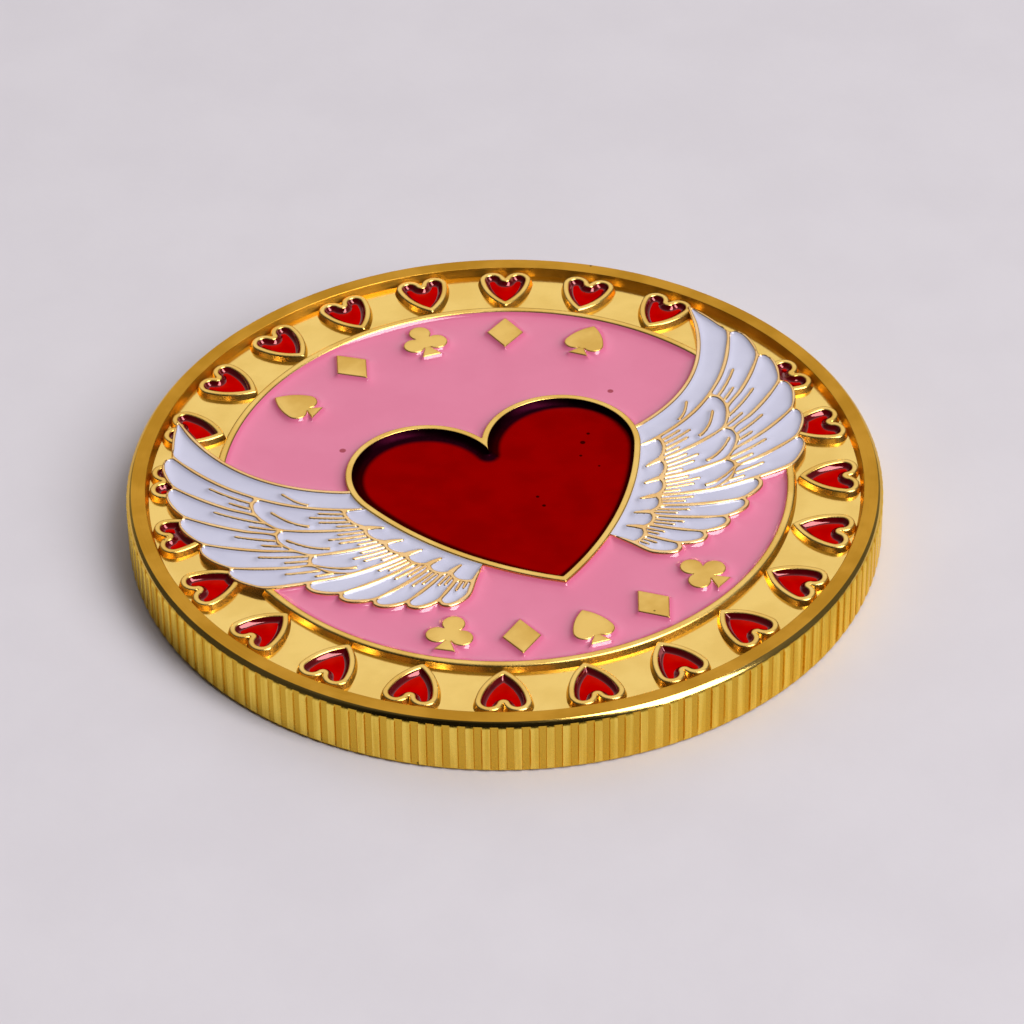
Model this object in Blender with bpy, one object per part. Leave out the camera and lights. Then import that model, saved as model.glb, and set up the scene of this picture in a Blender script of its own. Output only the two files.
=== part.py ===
"""Poker card guard: a struck, gold-plated coin with coloured enamel poured into its recesses.

The coin body is one struck piece of metal: reeded edge, raised rims, a border of small heart
frames, a ring, two feathered wings, a large heart frame and raised card-suit marks. Every pool
of enamel is a piece of its own, seated in its recess with a small clearance all round.
Metres, +Z up. The reverse rim rests on Z = 0, the coin's axis is Z, the design's top is +Y.
"""

import math

import bmesh
import bpy

# Blank
COIN_DIAMETER = 0.0500
COIN_THICKNESS = 0.0039
SHOULDER_RADIUS = 0.00075
SHOULDER_START = math.radians(57.0)
HEEL_RADIUS = 0.00035
RIM_WIDTH = 0.026 * COIN_DIAMETER
RIM_DRAFT = 0.00020
REVERSE_RECESS = 0.00030
REED_COUNT = 156
REED_DEPTH = 0.00015

# Levels of the face: the field lies below the rim and every relief stands on the field
FIELD_DEPTH = 0.00060
RING_HEIGHT = 0.00050
BORDER_HEART_HEIGHT = 0.00045
WING_HEIGHT = 0.00054
HEART_FRAME_HEIGHT = 0.00057
PIP_HEIGHT = 0.00047
RELIEF_DRAFT = 0.00006
RELIEF_FOOT = 0.00020

# Enamel: how far each colour lies below the top of the metal that holds it
PINK_SINK = 0.00020
WHITE_SINK = 0.00010
BORDER_RED_SINK = 0.00036
BORDER_POCKET_DEPTH = 0.00015
HEART_RED_SINK = 0.00064
HEART_POCKET_DEPTH = 0.00050
ENAMEL_CLEARANCE = 0.00003

# Border band and ring, drawn in shares of the coin's diameter as all of the design is
BORDER_WIDTH = 0.090 * COIN_DIAMETER
RING_WIDTH = 0.00055
BORDER_HEART_COUNT = 24
BORDER_HEART_TURN = math.radians(5.0)
BORDER_HEART_WIDTH = 0.072 * COIN_DIAMETER
BORDER_HEART_LENGTH = 0.0794 * COIN_DIAMETER
BORDER_HEART_LOBE = 0.2533 * BORDER_HEART_WIDTH
BORDER_HEART_FLANK = 0.085 * COIN_DIAMETER
BORDER_HEART_FRAME = 0.0084 * COIN_DIAMETER
BORDER_HEART_RIM_GAP = 0.0455 * COIN_DIAMETER
COVERED_LIMIT = 0.35

# Large heart
HEART_WIDTH = 0.386 * COIN_DIAMETER
HEART_LENGTH = 0.362 * COIN_DIAMETER
HEART_LOBE = 0.2527 * HEART_WIDTH
HEART_FLANK = 0.480 * COIN_DIAMETER
HEART_FRAME = 0.00044
HEART_DROP = 0.041 * COIN_DIAMETER

# Wings
WING_TIP_ANGLE = math.radians(34.5)
WING_HEEL_ANGLE = math.radians(-59.0)
WING_HEEL_RADIUS = 0.272 * COIN_DIAMETER
WING_TAPER_RATIO = 1.6
WING_BOW = 0.048 * COIN_DIAMETER
WING_RIM_GAP = 0.028 * COIN_DIAMETER
WING_TIP_POINT = 0.012 * COIN_DIAMETER
WING_ROOT_INSET = 0.022 * COIN_DIAMETER
WING_ROOT_DROP = 0.012 * COIN_DIAMETER
WING_ROOT_CROWDING_RATIO = 0.6
WING_HEEL_RISE = 0.084 * COIN_DIAMETER
FEATHER_LINE = 0.0064 * COIN_DIAMETER

# Feather rows, in shares of the wing's spread and length; the first primary is the leading feather
FAN_START_SHARE = 0.545
ROOT_SCALLOPS = 6
ROOT_REACH = 0.060 * COIN_DIAMETER
ROOT_TIP = 0.008 * COIN_DIAMETER
COVERT_COUNT = 3
COVERT_SHARE = 0.56
COVERT_TIP = 0.020 * COIN_DIAMETER
PRIMARY_COUNT = 6
PRIMARY_TIP = 0.016 * COIN_DIAMETER
FAN_COUNT = 5
FAN_SHARE = 0.78
FAN_TIP = 0.016 * COIN_DIAMETER

# Card-suit marks on two arcs
PIP_LENGTH = 0.068 * COIN_DIAMETER
PIP_FOOT_WIDTH = 0.412 * PIP_LENGTH
PIP_NECK_WIDTH = 0.118 * PIP_LENGTH
DIAMOND_WIDTH = 0.735 * PIP_LENGTH
SPADE_WIDTH = 0.809 * PIP_LENGTH
SPADE_LENGTH = 0.838 * PIP_LENGTH
SPADE_LOBE = 0.2582 * SPADE_WIDTH
SPADE_FLANK = 1.059 * PIP_LENGTH
CLUB_LOBE = 0.221 * PIP_LENGTH
CLUB_SPREAD = 0.235 * PIP_LENGTH
CLUB_FALL = 0.088 * PIP_LENGTH
PIP_RING_GAP = 0.20 * PIP_LENGTH
UPPER_PIP_PITCH = math.radians(20.0)
LOWER_PIP_PITCH = math.radians(16.0)
UPPER_PIPS = ("spade", "diamond", "club", "diamond", "spade")
LOWER_PIPS = ("club", "diamond", "spade", "diamond", "club")

# Facets
RING_STEPS = 88
HEART_LOBE_STEPS = 12
HEART_FLANK_STEPS = 6
BORDER_LOBE_STEPS = 5
BORDER_FLANK_STEPS = 3
BORDER_KNOB_STEPS = 2
SCALLOP_STEPS = 4
FEATHER_SIDE_STEPS = 3
LEADING_SIDE_STEPS = 8
NEAREST_SHARE = 0.02
PIP_LOBE_STEPS = 6
PIP_FLANK_STEPS = 2
MITRE_LIMIT = 0.3
SHARP_ANGLE = math.radians(30.0)

# Colours
GOLD = (0.83, 0.56, 0.16, 1.0)
PINK = (0.72, 0.22, 0.36, 1.0)
WHITE = (0.78, 0.78, 0.85, 1.0)
DEEP_RED = (0.25, 0.002, 0.002, 1.0)
BRIGHT_RED = (0.45, 0.003, 0.003, 1.0)

# Worked-out places
COIN_RADIUS = COIN_DIAMETER / 2
FIELD_RADIUS = COIN_RADIUS - RIM_WIDTH
RING_RADIUS = FIELD_RADIUS - BORDER_WIDTH
POOL_RADIUS = RING_RADIUS - RING_WIDTH
FIELD_Z = COIN_THICKNESS - FIELD_DEPTH
PIP_ARC_RADIUS = POOL_RADIUS - PIP_RING_GAP - PIP_LENGTH / 2
LEADING_SHARE = FAN_START_SHARE / PRIMARY_COUNT


class Heart:
    """Heart of two lobe arcs and two flatter flank arcs, lobes up, centred on its own height."""

    def __init__(self, width, length, lobe, flank):
        self.lobe = lobe
        self.flank = flank
        self.lobe_x = width / 2 - lobe
        self.lobe_y = length / 2 - lobe
        down = -length / 2 - self.lobe_y
        reach = math.hypot(self.lobe_x, down)
        step = flank - lobe
        share = (flank**2 - step**2 - reach**2) / (2 * step * reach)
        self.join = math.atan2(down, -self.lobe_x) + math.acos(share)
        self.flank_x = self.lobe_x - step * math.cos(self.join)
        self.flank_y = self.lobe_y - step * math.sin(self.join)

    def half_width(self, y):
        """Distance from the axis to the side at height y."""
        if y > self.lobe_y + self.lobe * math.sin(self.join):
            return self.lobe_x + math.sqrt(self.lobe**2 - (y - self.lobe_y) ** 2)
        return self.flank_x + math.sqrt(self.flank**2 - (y - self.flank_y) ** 2)

    def outline(self, grow, lobe_steps, flank_steps, knob_steps):
        """Counter-clockwise outline, moved outwards by grow, from the point round to the point.

        Moved inwards, its notch can become a round knob of knob_steps facets on each side.
        """
        lobe = self.lobe + grow
        flank = self.flank + grow
        notch = math.sqrt(max((self.lobe if knob_steps else lobe) ** 2 - self.lobe_x**2, 0.0))
        point = -math.sqrt(flank**2 - self.flank_x**2)
        notch_angle = math.atan2(notch, -self.lobe_x)
        point_angle = math.atan2(point, -self.flank_x)
        side = [(0.0, self.flank_y + point)]
        for i in range(1, flank_steps + 1):
            angle = point_angle + (self.join - point_angle) * i / flank_steps
            side.append((self.flank_x + flank * math.cos(angle), self.flank_y + flank * math.sin(angle)))
        for i in range(1, lobe_steps):
            angle = self.join + (notch_angle - self.join) * i / lobe_steps
            side.append((self.lobe_x + lobe * math.cos(angle), self.lobe_y + lobe * math.sin(angle)))
        notch_y = self.lobe_y + notch
        for i in range(knob_steps):
            angle = notch_angle + math.pi + (math.pi / 2 - notch_angle) * i / knob_steps
            side.append((-grow * math.cos(angle), notch_y - grow * math.sin(angle)))
        middle = (0.0, notch_y + grow if knob_steps else notch_y)
        return side + [middle] + [(-x, y) for x, y in reversed(side[1:])]


BORDER_HEART = Heart(BORDER_HEART_WIDTH, BORDER_HEART_LENGTH, BORDER_HEART_LOBE, BORDER_HEART_FLANK)
LARGE_HEART = Heart(HEART_WIDTH, HEART_LENGTH, HEART_LOBE, HEART_FLANK)


def place(outline, turn, x, y):
    """Outline turned about its origin and set at x, y."""
    cos, sin = math.cos(turn), math.sin(turn)
    return [(x + cos * px - sin * py, y + sin * px + cos * py) for px, py in outline]


def mirror(outline):
    """Outline mirrored in the Y axis, kept counter-clockwise."""
    return [(-x, y) for x, y in reversed(outline)]


def grown(outline, distance):
    """Counter-clockwise outline with every side moved outwards by distance."""
    result = []
    for i, (x, y) in enumerate(outline):
        ax, ay = outline[i - 1]
        bx, by = outline[(i + 1) % len(outline)]
        before = math.hypot(x - ax, y - ay)
        after = math.hypot(bx - x, by - y)
        nx, ny = (y - ay) / before, (ax - x) / before
        mx, my = (by - y) / after, (x - bx) / after
        scale = distance / max(1 + nx * mx + ny * my, MITRE_LIMIT)
        result.append((x + scale * (nx + mx), y + scale * (ny + my)))
    return result


def circle(radius, steps):
    """Counter-clockwise circle about the coin's axis."""
    turn = 2 * math.pi / steps
    return [(radius * math.cos(i * turn), radius * math.sin(i * turn)) for i in range(steps)]


def large_heart(grow):
    """Outline of the large heart's recess, moved outwards by grow."""
    outline = LARGE_HEART.outline(grow, HEART_LOBE_STEPS, HEART_FLANK_STEPS, 0)
    return place(outline, 0.0, 0.0, -HEART_DROP)


def border_heart(index, grow):
    """Outer outline of one border heart's frame, moved outwards by grow, its point inwards."""
    turn = -BORDER_HEART_TURN - index * 2 * math.pi / BORDER_HEART_COUNT
    radius = FIELD_RADIUS - BORDER_HEART_RIM_GAP
    knob_steps = BORDER_KNOB_STEPS if grow < 0 else 0
    outline = BORDER_HEART.outline(grow, BORDER_LOBE_STEPS, BORDER_FLANK_STEPS, knob_steps)
    return place(outline, turn, -radius * math.sin(turn), radius * math.cos(turn))


def wing_root(across):
    """Where the right wing starts, just inside the large heart's side."""
    top = LARGE_HEART.lobe_y - WING_ROOT_DROP
    heel = -HEART_LENGTH / 2 + WING_HEEL_RISE
    y = top + (heel - top) * across**WING_ROOT_CROWDING_RATIO
    return LARGE_HEART.half_width(y) - WING_ROOT_INSET, y - HEART_DROP


def wing_edge(across):
    """Where the right wing's feathers part at their tips."""
    reach = FIELD_RADIUS - WING_RIM_GAP
    radius = reach - (reach - WING_HEEL_RADIUS) * across**WING_TAPER_RATIO
    angle = WING_TIP_ANGLE + (WING_HEEL_ANGLE - WING_TIP_ANGLE) * across
    return radius * math.cos(angle), radius * math.sin(angle)


def wing_length(across):
    """Straight distance from the root to the parting of the feather tips."""
    return math.dist(wing_root(across), wing_edge(across))


def wing_point(across, along):
    """Point of the right wing: across from leading edge to heel, along from root to tips."""
    ax, ay = wing_root(across)
    bx, by = wing_edge(across)
    bow = WING_BOW * (1 - across) * 4 * along * (1 - along) / wing_length(across)
    return ax + along * (bx - ax) + bow * (by - ay), ay + along * (by - ay) - bow * (bx - ax)


class FeatherRow:
    """One row of rounded feather ends across part of the wing."""

    def __init__(self, start, stop, count, share, reach, tip, point):
        self.share = share
        self.reach = reach
        self.tip = tip
        self.point = point
        self.parts = [start + (stop - start) * i / count for i in range(count + 1)]

    def rise(self, index, share):
        """Length of a feather's end past its partings."""
        if index == 0 and self.point:
            return self.point * (1 - share)
        return self.tip * 4 * share * (1 - share)

    def samples(self, start, stop):
        """Points (across, along) on the feather ends between two places across the wing."""
        found = []
        for index, (low, high) in enumerate(zip(self.parts, self.parts[1:])):
            if high <= start or low >= stop:
                continue
            for step in range(SCALLOP_STEPS + 1):
                share = step / SCALLOP_STEPS
                across = min(max(low + (high - low) * share, start), stop)
                if 0 < min(across - start, stop - across) < NEAREST_SHARE:
                    continue
                share = (across - low) / (high - low)
                along = self.share + (self.reach + self.rise(index, share)) / wing_length(across)
                if not found or across > found[-1][0]:
                    found.append((across, along))
        return found


ROOT_ROW = FeatherRow(LEADING_SHARE, 1.0, ROOT_SCALLOPS, 0.0, ROOT_REACH, ROOT_TIP, 0.0)
COVERT_ROW = FeatherRow(LEADING_SHARE, FAN_START_SHARE, COVERT_COUNT, COVERT_SHARE, 0.0, COVERT_TIP, 0.0)
PRIMARY_ROW = FeatherRow(0.0, FAN_START_SHARE, PRIMARY_COUNT, 1.0, 0.0, PRIMARY_TIP, WING_TIP_POINT)
FAN_ROW = FeatherRow(FAN_START_SHARE, 1.0, FAN_COUNT, FAN_SHARE, 0.0, FAN_TIP, 0.0)


def feather_side(across, start, stop, steps):
    """Points between two places along one parting line, ends left out."""
    return [(across, start + (stop - start) * i / steps) for i in range(1, steps)]


def wing_loop(near, ends, far, base):
    """Counter-clockwise outline from lists of (across, along) round one cell of the right wing."""
    loop = near + ends + far[::-1] + base[::-1]
    return [wing_point(across, along) for across, along in reversed(loop)]


def feather(row, index, inner):
    """Outline of one feather of the right wing, out to its parting lines."""
    low, high = row.parts[index], row.parts[index + 1]
    base = inner.samples(low, high)
    ends = row.samples(low, high)
    near = feather_side(low, base[0][1], ends[0][1], FEATHER_SIDE_STEPS)
    far = feather_side(high, base[-1][1], ends[-1][1], FEATHER_SIDE_STEPS)
    return wing_loop(near, ends, far, base)


def leading_feather():
    """Outline of the right wing's long front feather, running in under the heart frame."""
    ends = PRIMARY_ROW.samples(0.0, LEADING_SHARE)
    near = feather_side(0.0, 0.0, ends[0][1], LEADING_SIDE_STEPS)
    far = feather_side(LEADING_SHARE, 0.0, ends[-1][1], LEADING_SIDE_STEPS)
    return wing_loop(near, ends, far, [(0.0, 0.0), (LEADING_SHARE, 0.0)])


def root_patch():
    """Outline of the right wing's root, running in under the heart frame."""
    return wing_loop([], ROOT_ROW.samples(LEADING_SHARE, 1.0), [], [(LEADING_SHARE, 0.0), (1.0, 0.0)])


def wing_outline():
    """Outline of the right wing through its outermost lines."""
    ends = PRIMARY_ROW.samples(0.0, FAN_START_SHARE) + FAN_ROW.samples(FAN_START_SHARE, 1.0)
    near = feather_side(0.0, 0.0, ends[0][1], LEADING_SIDE_STEPS)
    far = feather_side(1.0, 0.0, ends[-1][1], FEATHER_SIDE_STEPS)
    return wing_loop(near, ends, far, [(0.0, 0.0), (1.0, 0.0)])


def inside(point, outline):
    """Whether a point lies inside an outline."""
    x, y = point
    crossings = 0
    for (ax, ay), (bx, by) in zip(outline, outline[1:] + outline[:1]):
        if (ay > y) != (by > y) and x < ax + (bx - ax) * (y - ay) / (by - ay):
            crossings += 1
    return crossings % 2 == 1


def open_hearts():
    """Indices of the border hearts that no wing hides almost wholly."""
    wing = wing_outline()
    shown = []
    for i in range(BORDER_HEART_COUNT):
        outline = border_heart(i, -BORDER_HEART_FRAME)
        covered = sum(inside(p, wing) or inside((-p[0], p[1]), wing) for p in outline)
        if covered < COVERED_LIMIT * len(outline):
            shown.append(i)
    return shown


def arc(x, y, radius, start, stop, steps):
    """Points on an arc, both ends included."""
    angles = [start + (stop - start) * i / steps for i in range(steps + 1)]
    return [(x + radius * math.cos(a), y + radius * math.sin(a)) for a in angles]


def diamond():
    """Card diamond."""
    wide, tall = DIAMOND_WIDTH / 2, PIP_LENGTH / 2
    return [(0.0, -tall), (wide, 0.0), (0.0, tall), (-wide, 0.0)]


def neck_angle(lobe_x, lobe):
    """Angle on the right lobe where the foot's neck leaves it."""
    return -math.acos(max((PIP_NECK_WIDTH / 2 - lobe_x) / lobe, -1.0))


def footed(side, top):
    """Mark with a flared foot, its right side from the neck upwards and its top points."""
    foot, low = PIP_FOOT_WIDTH / 2, -PIP_LENGTH / 2
    return [(-foot, low), (foot, low)] + side + top + mirror(side)


def spade():
    """Card spade: a heart on its head, with a foot where its notch was."""
    heart = Heart(SPADE_WIDTH, SPADE_LENGTH, SPADE_LOBE, SPADE_FLANK)
    middle = (PIP_LENGTH - SPADE_LENGTH) / 2
    x, y = heart.lobe_x, middle - heart.lobe_y
    side = arc(x, y, SPADE_LOBE, neck_angle(x, SPADE_LOBE), -heart.join, PIP_LOBE_STEPS)
    x, y = heart.flank_x, middle - heart.flank_y
    flank = arc(x, y, SPADE_FLANK, -heart.join, math.acos(-x / SPADE_FLANK), PIP_FLANK_STEPS)
    return footed(side + flank[1:-1], flank[-1:])


def club():
    """Card club: three equal lobes and a foot."""
    top_y = PIP_LENGTH / 2 - CLUB_LOBE
    rise = top_y + CLUB_FALL
    lean = math.atan2(rise, -CLUB_SPREAD)
    half = math.acos(min(math.hypot(CLUB_SPREAD, rise) / (2 * CLUB_LOBE), 1.0))
    start = neck_angle(CLUB_SPREAD, CLUB_LOBE)
    side = arc(CLUB_SPREAD, -CLUB_FALL, CLUB_LOBE, start, lean - half, PIP_LOBE_STEPS)
    start = lean - math.pi + half
    top = arc(0.0, top_y, CLUB_LOBE, start, math.pi - start, PIP_LOBE_STEPS)
    return footed(side, top[1:-1])


PIP_SHAPES = {"diamond": diamond, "spade": spade, "club": club}


def pips():
    """Outlines of all card-suit marks, heads away from the centre above and towards it below."""
    outlines = []
    for names, pitch, sign in ((UPPER_PIPS, UPPER_PIP_PITCH, 1), (LOWER_PIPS, LOWER_PIP_PITCH, -1)):
        for i, name in enumerate(names):
            turn = (i - (len(names) - 1) / 2) * pitch
            x = PIP_ARC_RADIUS * math.sin(turn)
            y = PIP_ARC_RADIUS * math.cos(turn) * sign
            outlines.append(place(PIP_SHAPES[name](), -turn * sign, x, y))
    return outlines


def add_prism(mesh, foot, top, low, high):
    """Closed body between a foot outline at low and a top outline with as many points at high."""
    lower = [mesh.verts.new((x, y, low)) for x, y in foot]
    upper = [mesh.verts.new((x, y, high)) for x, y in top]
    mesh.faces.new(lower[::-1])
    mesh.faces.new(upper)
    for i in range(len(lower)):
        j = (i + 1) % len(lower)
        mesh.faces.new((lower[i], lower[j], upper[j], upper[i]))


def new_object(name, mesh):
    """Object with the bodies of a bmesh."""
    data = bpy.data.meshes.new(name)
    bmesh.ops.recalc_face_normals(mesh, faces=mesh.faces)
    mesh.to_mesh(data)
    mesh.free()
    piece = bpy.data.objects.new(name, data)
    bpy.context.scene.collection.objects.link(piece)
    return piece


def recesses(outlines, low, high):
    """Straight-walled bodies on the given outlines."""
    mesh = bmesh.new()
    for outline in outlines:
        add_prism(mesh, outline, outline, low, high)
    return new_object("tool", mesh)


def reliefs(outlines, height, grow):
    """Drafted bodies standing on the field, all moved outwards by grow."""
    mesh = bmesh.new()
    for outline in outlines:
        foot = grown(outline, grow + RELIEF_DRAFT)
        add_prism(mesh, foot, grown(outline, grow), FIELD_Z - RELIEF_FOOT, FIELD_Z + height)
    return new_object("tool", mesh)


def strike(piece, operation, tool):
    """Join a tool body to a piece or take it away from it."""
    modifier = piece.modifiers.new("strike", "BOOLEAN")
    modifier.operation = operation
    modifier.solver = "EXACT"
    modifier.object = tool
    graph = bpy.context.evaluated_depsgraph_get()
    result = bpy.data.meshes.new_from_object(piece.evaluated_get(graph))
    piece.modifiers.clear()
    old = piece.data
    piece.data = result
    bpy.data.meshes.remove(old)
    bpy.data.objects.remove(tool)


def heart_block(grow):
    """Body of the large heart and its frame."""
    mesh = bmesh.new()
    low, high = FIELD_Z - RELIEF_FOOT, FIELD_Z + HEART_FRAME_HEIGHT
    foot = large_heart(HEART_FRAME + RELIEF_DRAFT + grow)
    add_prism(mesh, foot, large_heart(HEART_FRAME + grow), low, high)
    return new_object("tool", mesh)


def border_blocks():
    """Bodies of the border hearts and their frames."""
    mesh = bmesh.new()
    low, high = FIELD_Z - RELIEF_FOOT, FIELD_Z + BORDER_HEART_HEIGHT
    for i in open_hearts():
        add_prism(mesh, border_heart(i, RELIEF_DRAFT), border_heart(i, 0.0), low, high)
    return new_object("tool", mesh)


def wing_blocks(grow):
    """Bodies of both wings."""
    right = grown(wing_outline(), FEATHER_LINE / 2)
    return reliefs([right, mirror(right)], WING_HEIGHT, grow)


def ring_block():
    """Body of the disc inside the border."""
    mesh = bmesh.new()
    foot = circle(RING_RADIUS + RELIEF_DRAFT, RING_STEPS)
    add_prism(mesh, foot, circle(RING_RADIUS, RING_STEPS), FIELD_Z - RELIEF_FOOT, FIELD_Z + RING_HEIGHT)
    return new_object("tool", mesh)


def bridge(mesh, lower, upper):
    """Faces between two rings, one of which may have twice the points of the other."""
    if len(lower) == len(upper):
        for i in range(len(lower)):
            mesh.faces.new((lower[i - 1], lower[i], upper[i], upper[i - 1]))
        return
    few, many = sorted((lower, upper), key=len)
    for i in range(len(few)):
        j = (i + 1) % len(few)
        mesh.faces.new((few[i], many[2 * i], many[2 * i + 1]))
        mesh.faces.new((few[i], many[2 * i + 1], few[j]))
        mesh.faces.new((few[j], many[2 * i + 1], many[2 * j]))


def rounded_level(radius, angle, middle, side, steps):
    """Circle on a rounded edge of the blank, at an angle up (1) or down (-1) from the edge's middle."""
    outline = circle(COIN_RADIUS - radius * (1 - math.cos(angle)), steps)
    return outline, middle + side * radius * math.sin(angle)


def coin_blank():
    """Blank with reeded edge, rounded shoulder and heel, both rims and both recessed fields."""
    reeds = []
    for i in range(2 * REED_COUNT):
        radius = COIN_RADIUS - REED_DEPTH * (i % 2)
        angle = i * math.pi / REED_COUNT
        reeds.append((radius * math.cos(angle), radius * math.sin(angle)))
    inner = circle(FIELD_RADIUS, REED_COUNT // 2)
    field = circle(FIELD_RADIUS - RIM_DRAFT, REED_COUNT // 2)
    levels = [
        (inner, REVERSE_RECESS),
        (inner, 0.0),
        rounded_level(HEEL_RADIUS, math.pi / 2, HEEL_RADIUS, -1, REED_COUNT // 2),
        rounded_level(HEEL_RADIUS, math.pi / 4, HEEL_RADIUS, -1, REED_COUNT),
        (reeds, HEEL_RADIUS),
    ]
    start = COIN_THICKNESS - SHOULDER_RADIUS * math.sin(SHOULDER_START)
    levels += [
        (reeds, start),
        rounded_level(SHOULDER_RADIUS, SHOULDER_START / 2, start, 1, REED_COUNT),
        rounded_level(SHOULDER_RADIUS, SHOULDER_START, start, 1, REED_COUNT // 2),
        (inner, COIN_THICKNESS),
        (field, FIELD_Z),
    ]
    mesh = bmesh.new()
    rings = [[mesh.verts.new((x, y, z)) for x, y in outline] for outline, z in levels]
    for lower, upper in zip(rings, rings[1:]):
        bridge(mesh, lower, upper)
    mesh.faces.new(rings[0])
    mesh.faces.new(rings[-1])
    return new_object("coin_body", mesh)


def feather_pools():
    """Names and outlines of the right wing's feather recesses."""
    shapes = [("root", root_patch()), ("leading", leading_feather())]
    shapes += [(f"covert_{i + 1}", feather(COVERT_ROW, i, ROOT_ROW)) for i in range(COVERT_COUNT)]
    shapes += [(f"primary_{i}", feather(PRIMARY_ROW, i, COVERT_ROW)) for i in range(1, PRIMARY_COUNT)]
    shapes += [(f"fan_{i + 1}", feather(FAN_ROW, i, ROOT_ROW)) for i in range(FAN_COUNT)]
    return [(name, grown(outline, -FEATHER_LINE / 2)) for name, outline in shapes]


def coin_body():
    """The struck coin without its enamel."""
    body = coin_blank()
    strike(body, "UNION", ring_block())
    strike(body, "UNION", border_blocks())
    above = COIN_THICKNESS + RELIEF_FOOT
    strike(body, "DIFFERENCE", recesses([circle(POOL_RADIUS, RING_STEPS)], FIELD_Z, above))
    hearts = [border_heart(i, -BORDER_HEART_FRAME) for i in open_hearts()]
    strike(body, "DIFFERENCE", recesses(hearts, FIELD_Z - BORDER_POCKET_DEPTH, above))
    strike(body, "UNION", wing_blocks(0.0))
    strike(body, "UNION", reliefs(pips(), PIP_HEIGHT, 0.0))
    feathers = [outline for name, outline in feather_pools()]
    strike(body, "DIFFERENCE", recesses(feathers + [mirror(o) for o in feathers], FIELD_Z, above))
    strike(body, "UNION", heart_block(0.0))
    strike(body, "DIFFERENCE", recesses([large_heart(0.0)], FIELD_Z - HEART_POCKET_DEPTH, above))
    return body


def largest_part(piece):
    """Keep only the largest separate body of a piece."""
    mesh = bmesh.new()
    mesh.from_mesh(piece.data)
    left = set(mesh.faces)
    bodies = []
    while left:
        stack = [min(left, key=lambda face: face.index)]
        body = set(stack)
        while stack:
            for edge in stack.pop().edges:
                for face in edge.link_faces:
                    if face not in body:
                        body.add(face)
                        stack.append(face)
        left -= body
        bodies.append(body)
    volumes = [sum(body_share(face) for face in body) for body in bodies]
    best = volumes.index(max(volumes))
    dropped = [face for i, body in enumerate(bodies) if i != best for face in body]
    bmesh.ops.delete(mesh, geom=dropped, context="FACES")
    mesh.to_mesh(piece.data)
    mesh.free()


def body_share(face):
    """Volume between a face and the origin, counted with the face's direction."""
    return face.calc_area() * face.normal.dot(face.calc_center_median()) / 3


def paint(piece, name, colour, metal, rough):
    """Give a piece its material, made on first use, and smooth shading on its round sides."""
    material = bpy.data.materials.get(name)
    if material is None:
        material = bpy.data.materials.new(name)
        material.use_nodes = True
        shader = material.node_tree.nodes["Principled BSDF"]
        shader.inputs["Base Color"].default_value = colour
        shader.inputs["Metallic"].default_value = metal
        shader.inputs["Roughness"].default_value = rough
        material.diffuse_color = colour
    piece.data.materials.clear()
    piece.data.materials.append(material)
    piece.data.shade_smooth()
    piece.data.set_sharp_from_angle(angle=SHARP_ANGLE)


def enamel(name, outline, low, high):
    """One pool of enamel, clear of its recess by the clearance."""
    mesh = bmesh.new()
    add_prism(mesh, outline, outline, low, high)
    return new_object(name, mesh)


def pour_pink():
    """The two pink pools between ring, wings and heart."""
    top = FIELD_Z + RING_HEIGHT - PINK_SINK
    radius = POOL_RADIUS - ENAMEL_CLEARANCE
    half = RING_STEPS // 2
    for name, start in (("pink_enamel_upper", 0.0), ("pink_enamel_lower", math.pi)):
        outline = arc(0.0, 0.0, radius, start, start + math.pi, half)
        pool = enamel(name, outline, FIELD_Z + ENAMEL_CLEARANCE, top)
        strike(pool, "DIFFERENCE", wing_blocks(ENAMEL_CLEARANCE))
        strike(pool, "DIFFERENCE", heart_block(ENAMEL_CLEARANCE))
        strike(pool, "DIFFERENCE", reliefs(pips(), PIP_HEIGHT, ENAMEL_CLEARANCE))
        largest_part(pool)
        paint(pool, "pink_enamel", PINK, 0.0, 0.25)


def pour_feathers():
    """The white pools of both wings."""
    top = FIELD_Z + WING_HEIGHT - WHITE_SINK
    for name, recess in feather_pools():
        outline = grown(recess, -ENAMEL_CLEARANCE)
        for side, shape in (("right", outline), ("left", mirror(outline))):
            pool = enamel(f"white_enamel_{side}_{name}", shape, FIELD_Z + ENAMEL_CLEARANCE, top)
            if name in ("root", "leading"):
                strike(pool, "DIFFERENCE", heart_block(ENAMEL_CLEARANCE))
                largest_part(pool)
            paint(pool, "white_enamel", WHITE, 0.0, 0.25)


def pour_reds():
    """The red pool of the large heart and those of the border hearts that the wings leave free."""
    low = FIELD_Z - HEART_POCKET_DEPTH + ENAMEL_CLEARANCE
    pool = enamel("heart_enamel", large_heart(-ENAMEL_CLEARANCE), low,
                  FIELD_Z + HEART_FRAME_HEIGHT - HEART_RED_SINK)
    paint(pool, "heart_enamel", DEEP_RED, 0.0, 0.12)
    low = FIELD_Z - BORDER_POCKET_DEPTH + ENAMEL_CLEARANCE
    top = FIELD_Z + BORDER_HEART_HEIGHT - BORDER_RED_SINK
    for i in open_hearts():
        outline = border_heart(i, -BORDER_HEART_FRAME - ENAMEL_CLEARANCE)
        pool = enamel(f"border_enamel_{i + 1:02d}", outline, low, top)
        strike(pool, "DIFFERENCE", wing_blocks(ENAMEL_CLEARANCE))
        largest_part(pool)
        paint(pool, "border_enamel", BRIGHT_RED, 0.0, 0.12)


for old in list(bpy.data.objects):
    bpy.data.objects.remove(old)
paint(coin_body(), "gold_plate", GOLD, 1.0, 0.25)
pour_pink()
pour_feathers()
pour_reds()
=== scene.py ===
"""Struck and enamelled poker card guard: fine relief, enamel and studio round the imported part."""
from math import acos, atan2, cos, degrees, dist, hypot, pi, radians, sin, sqrt

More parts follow.
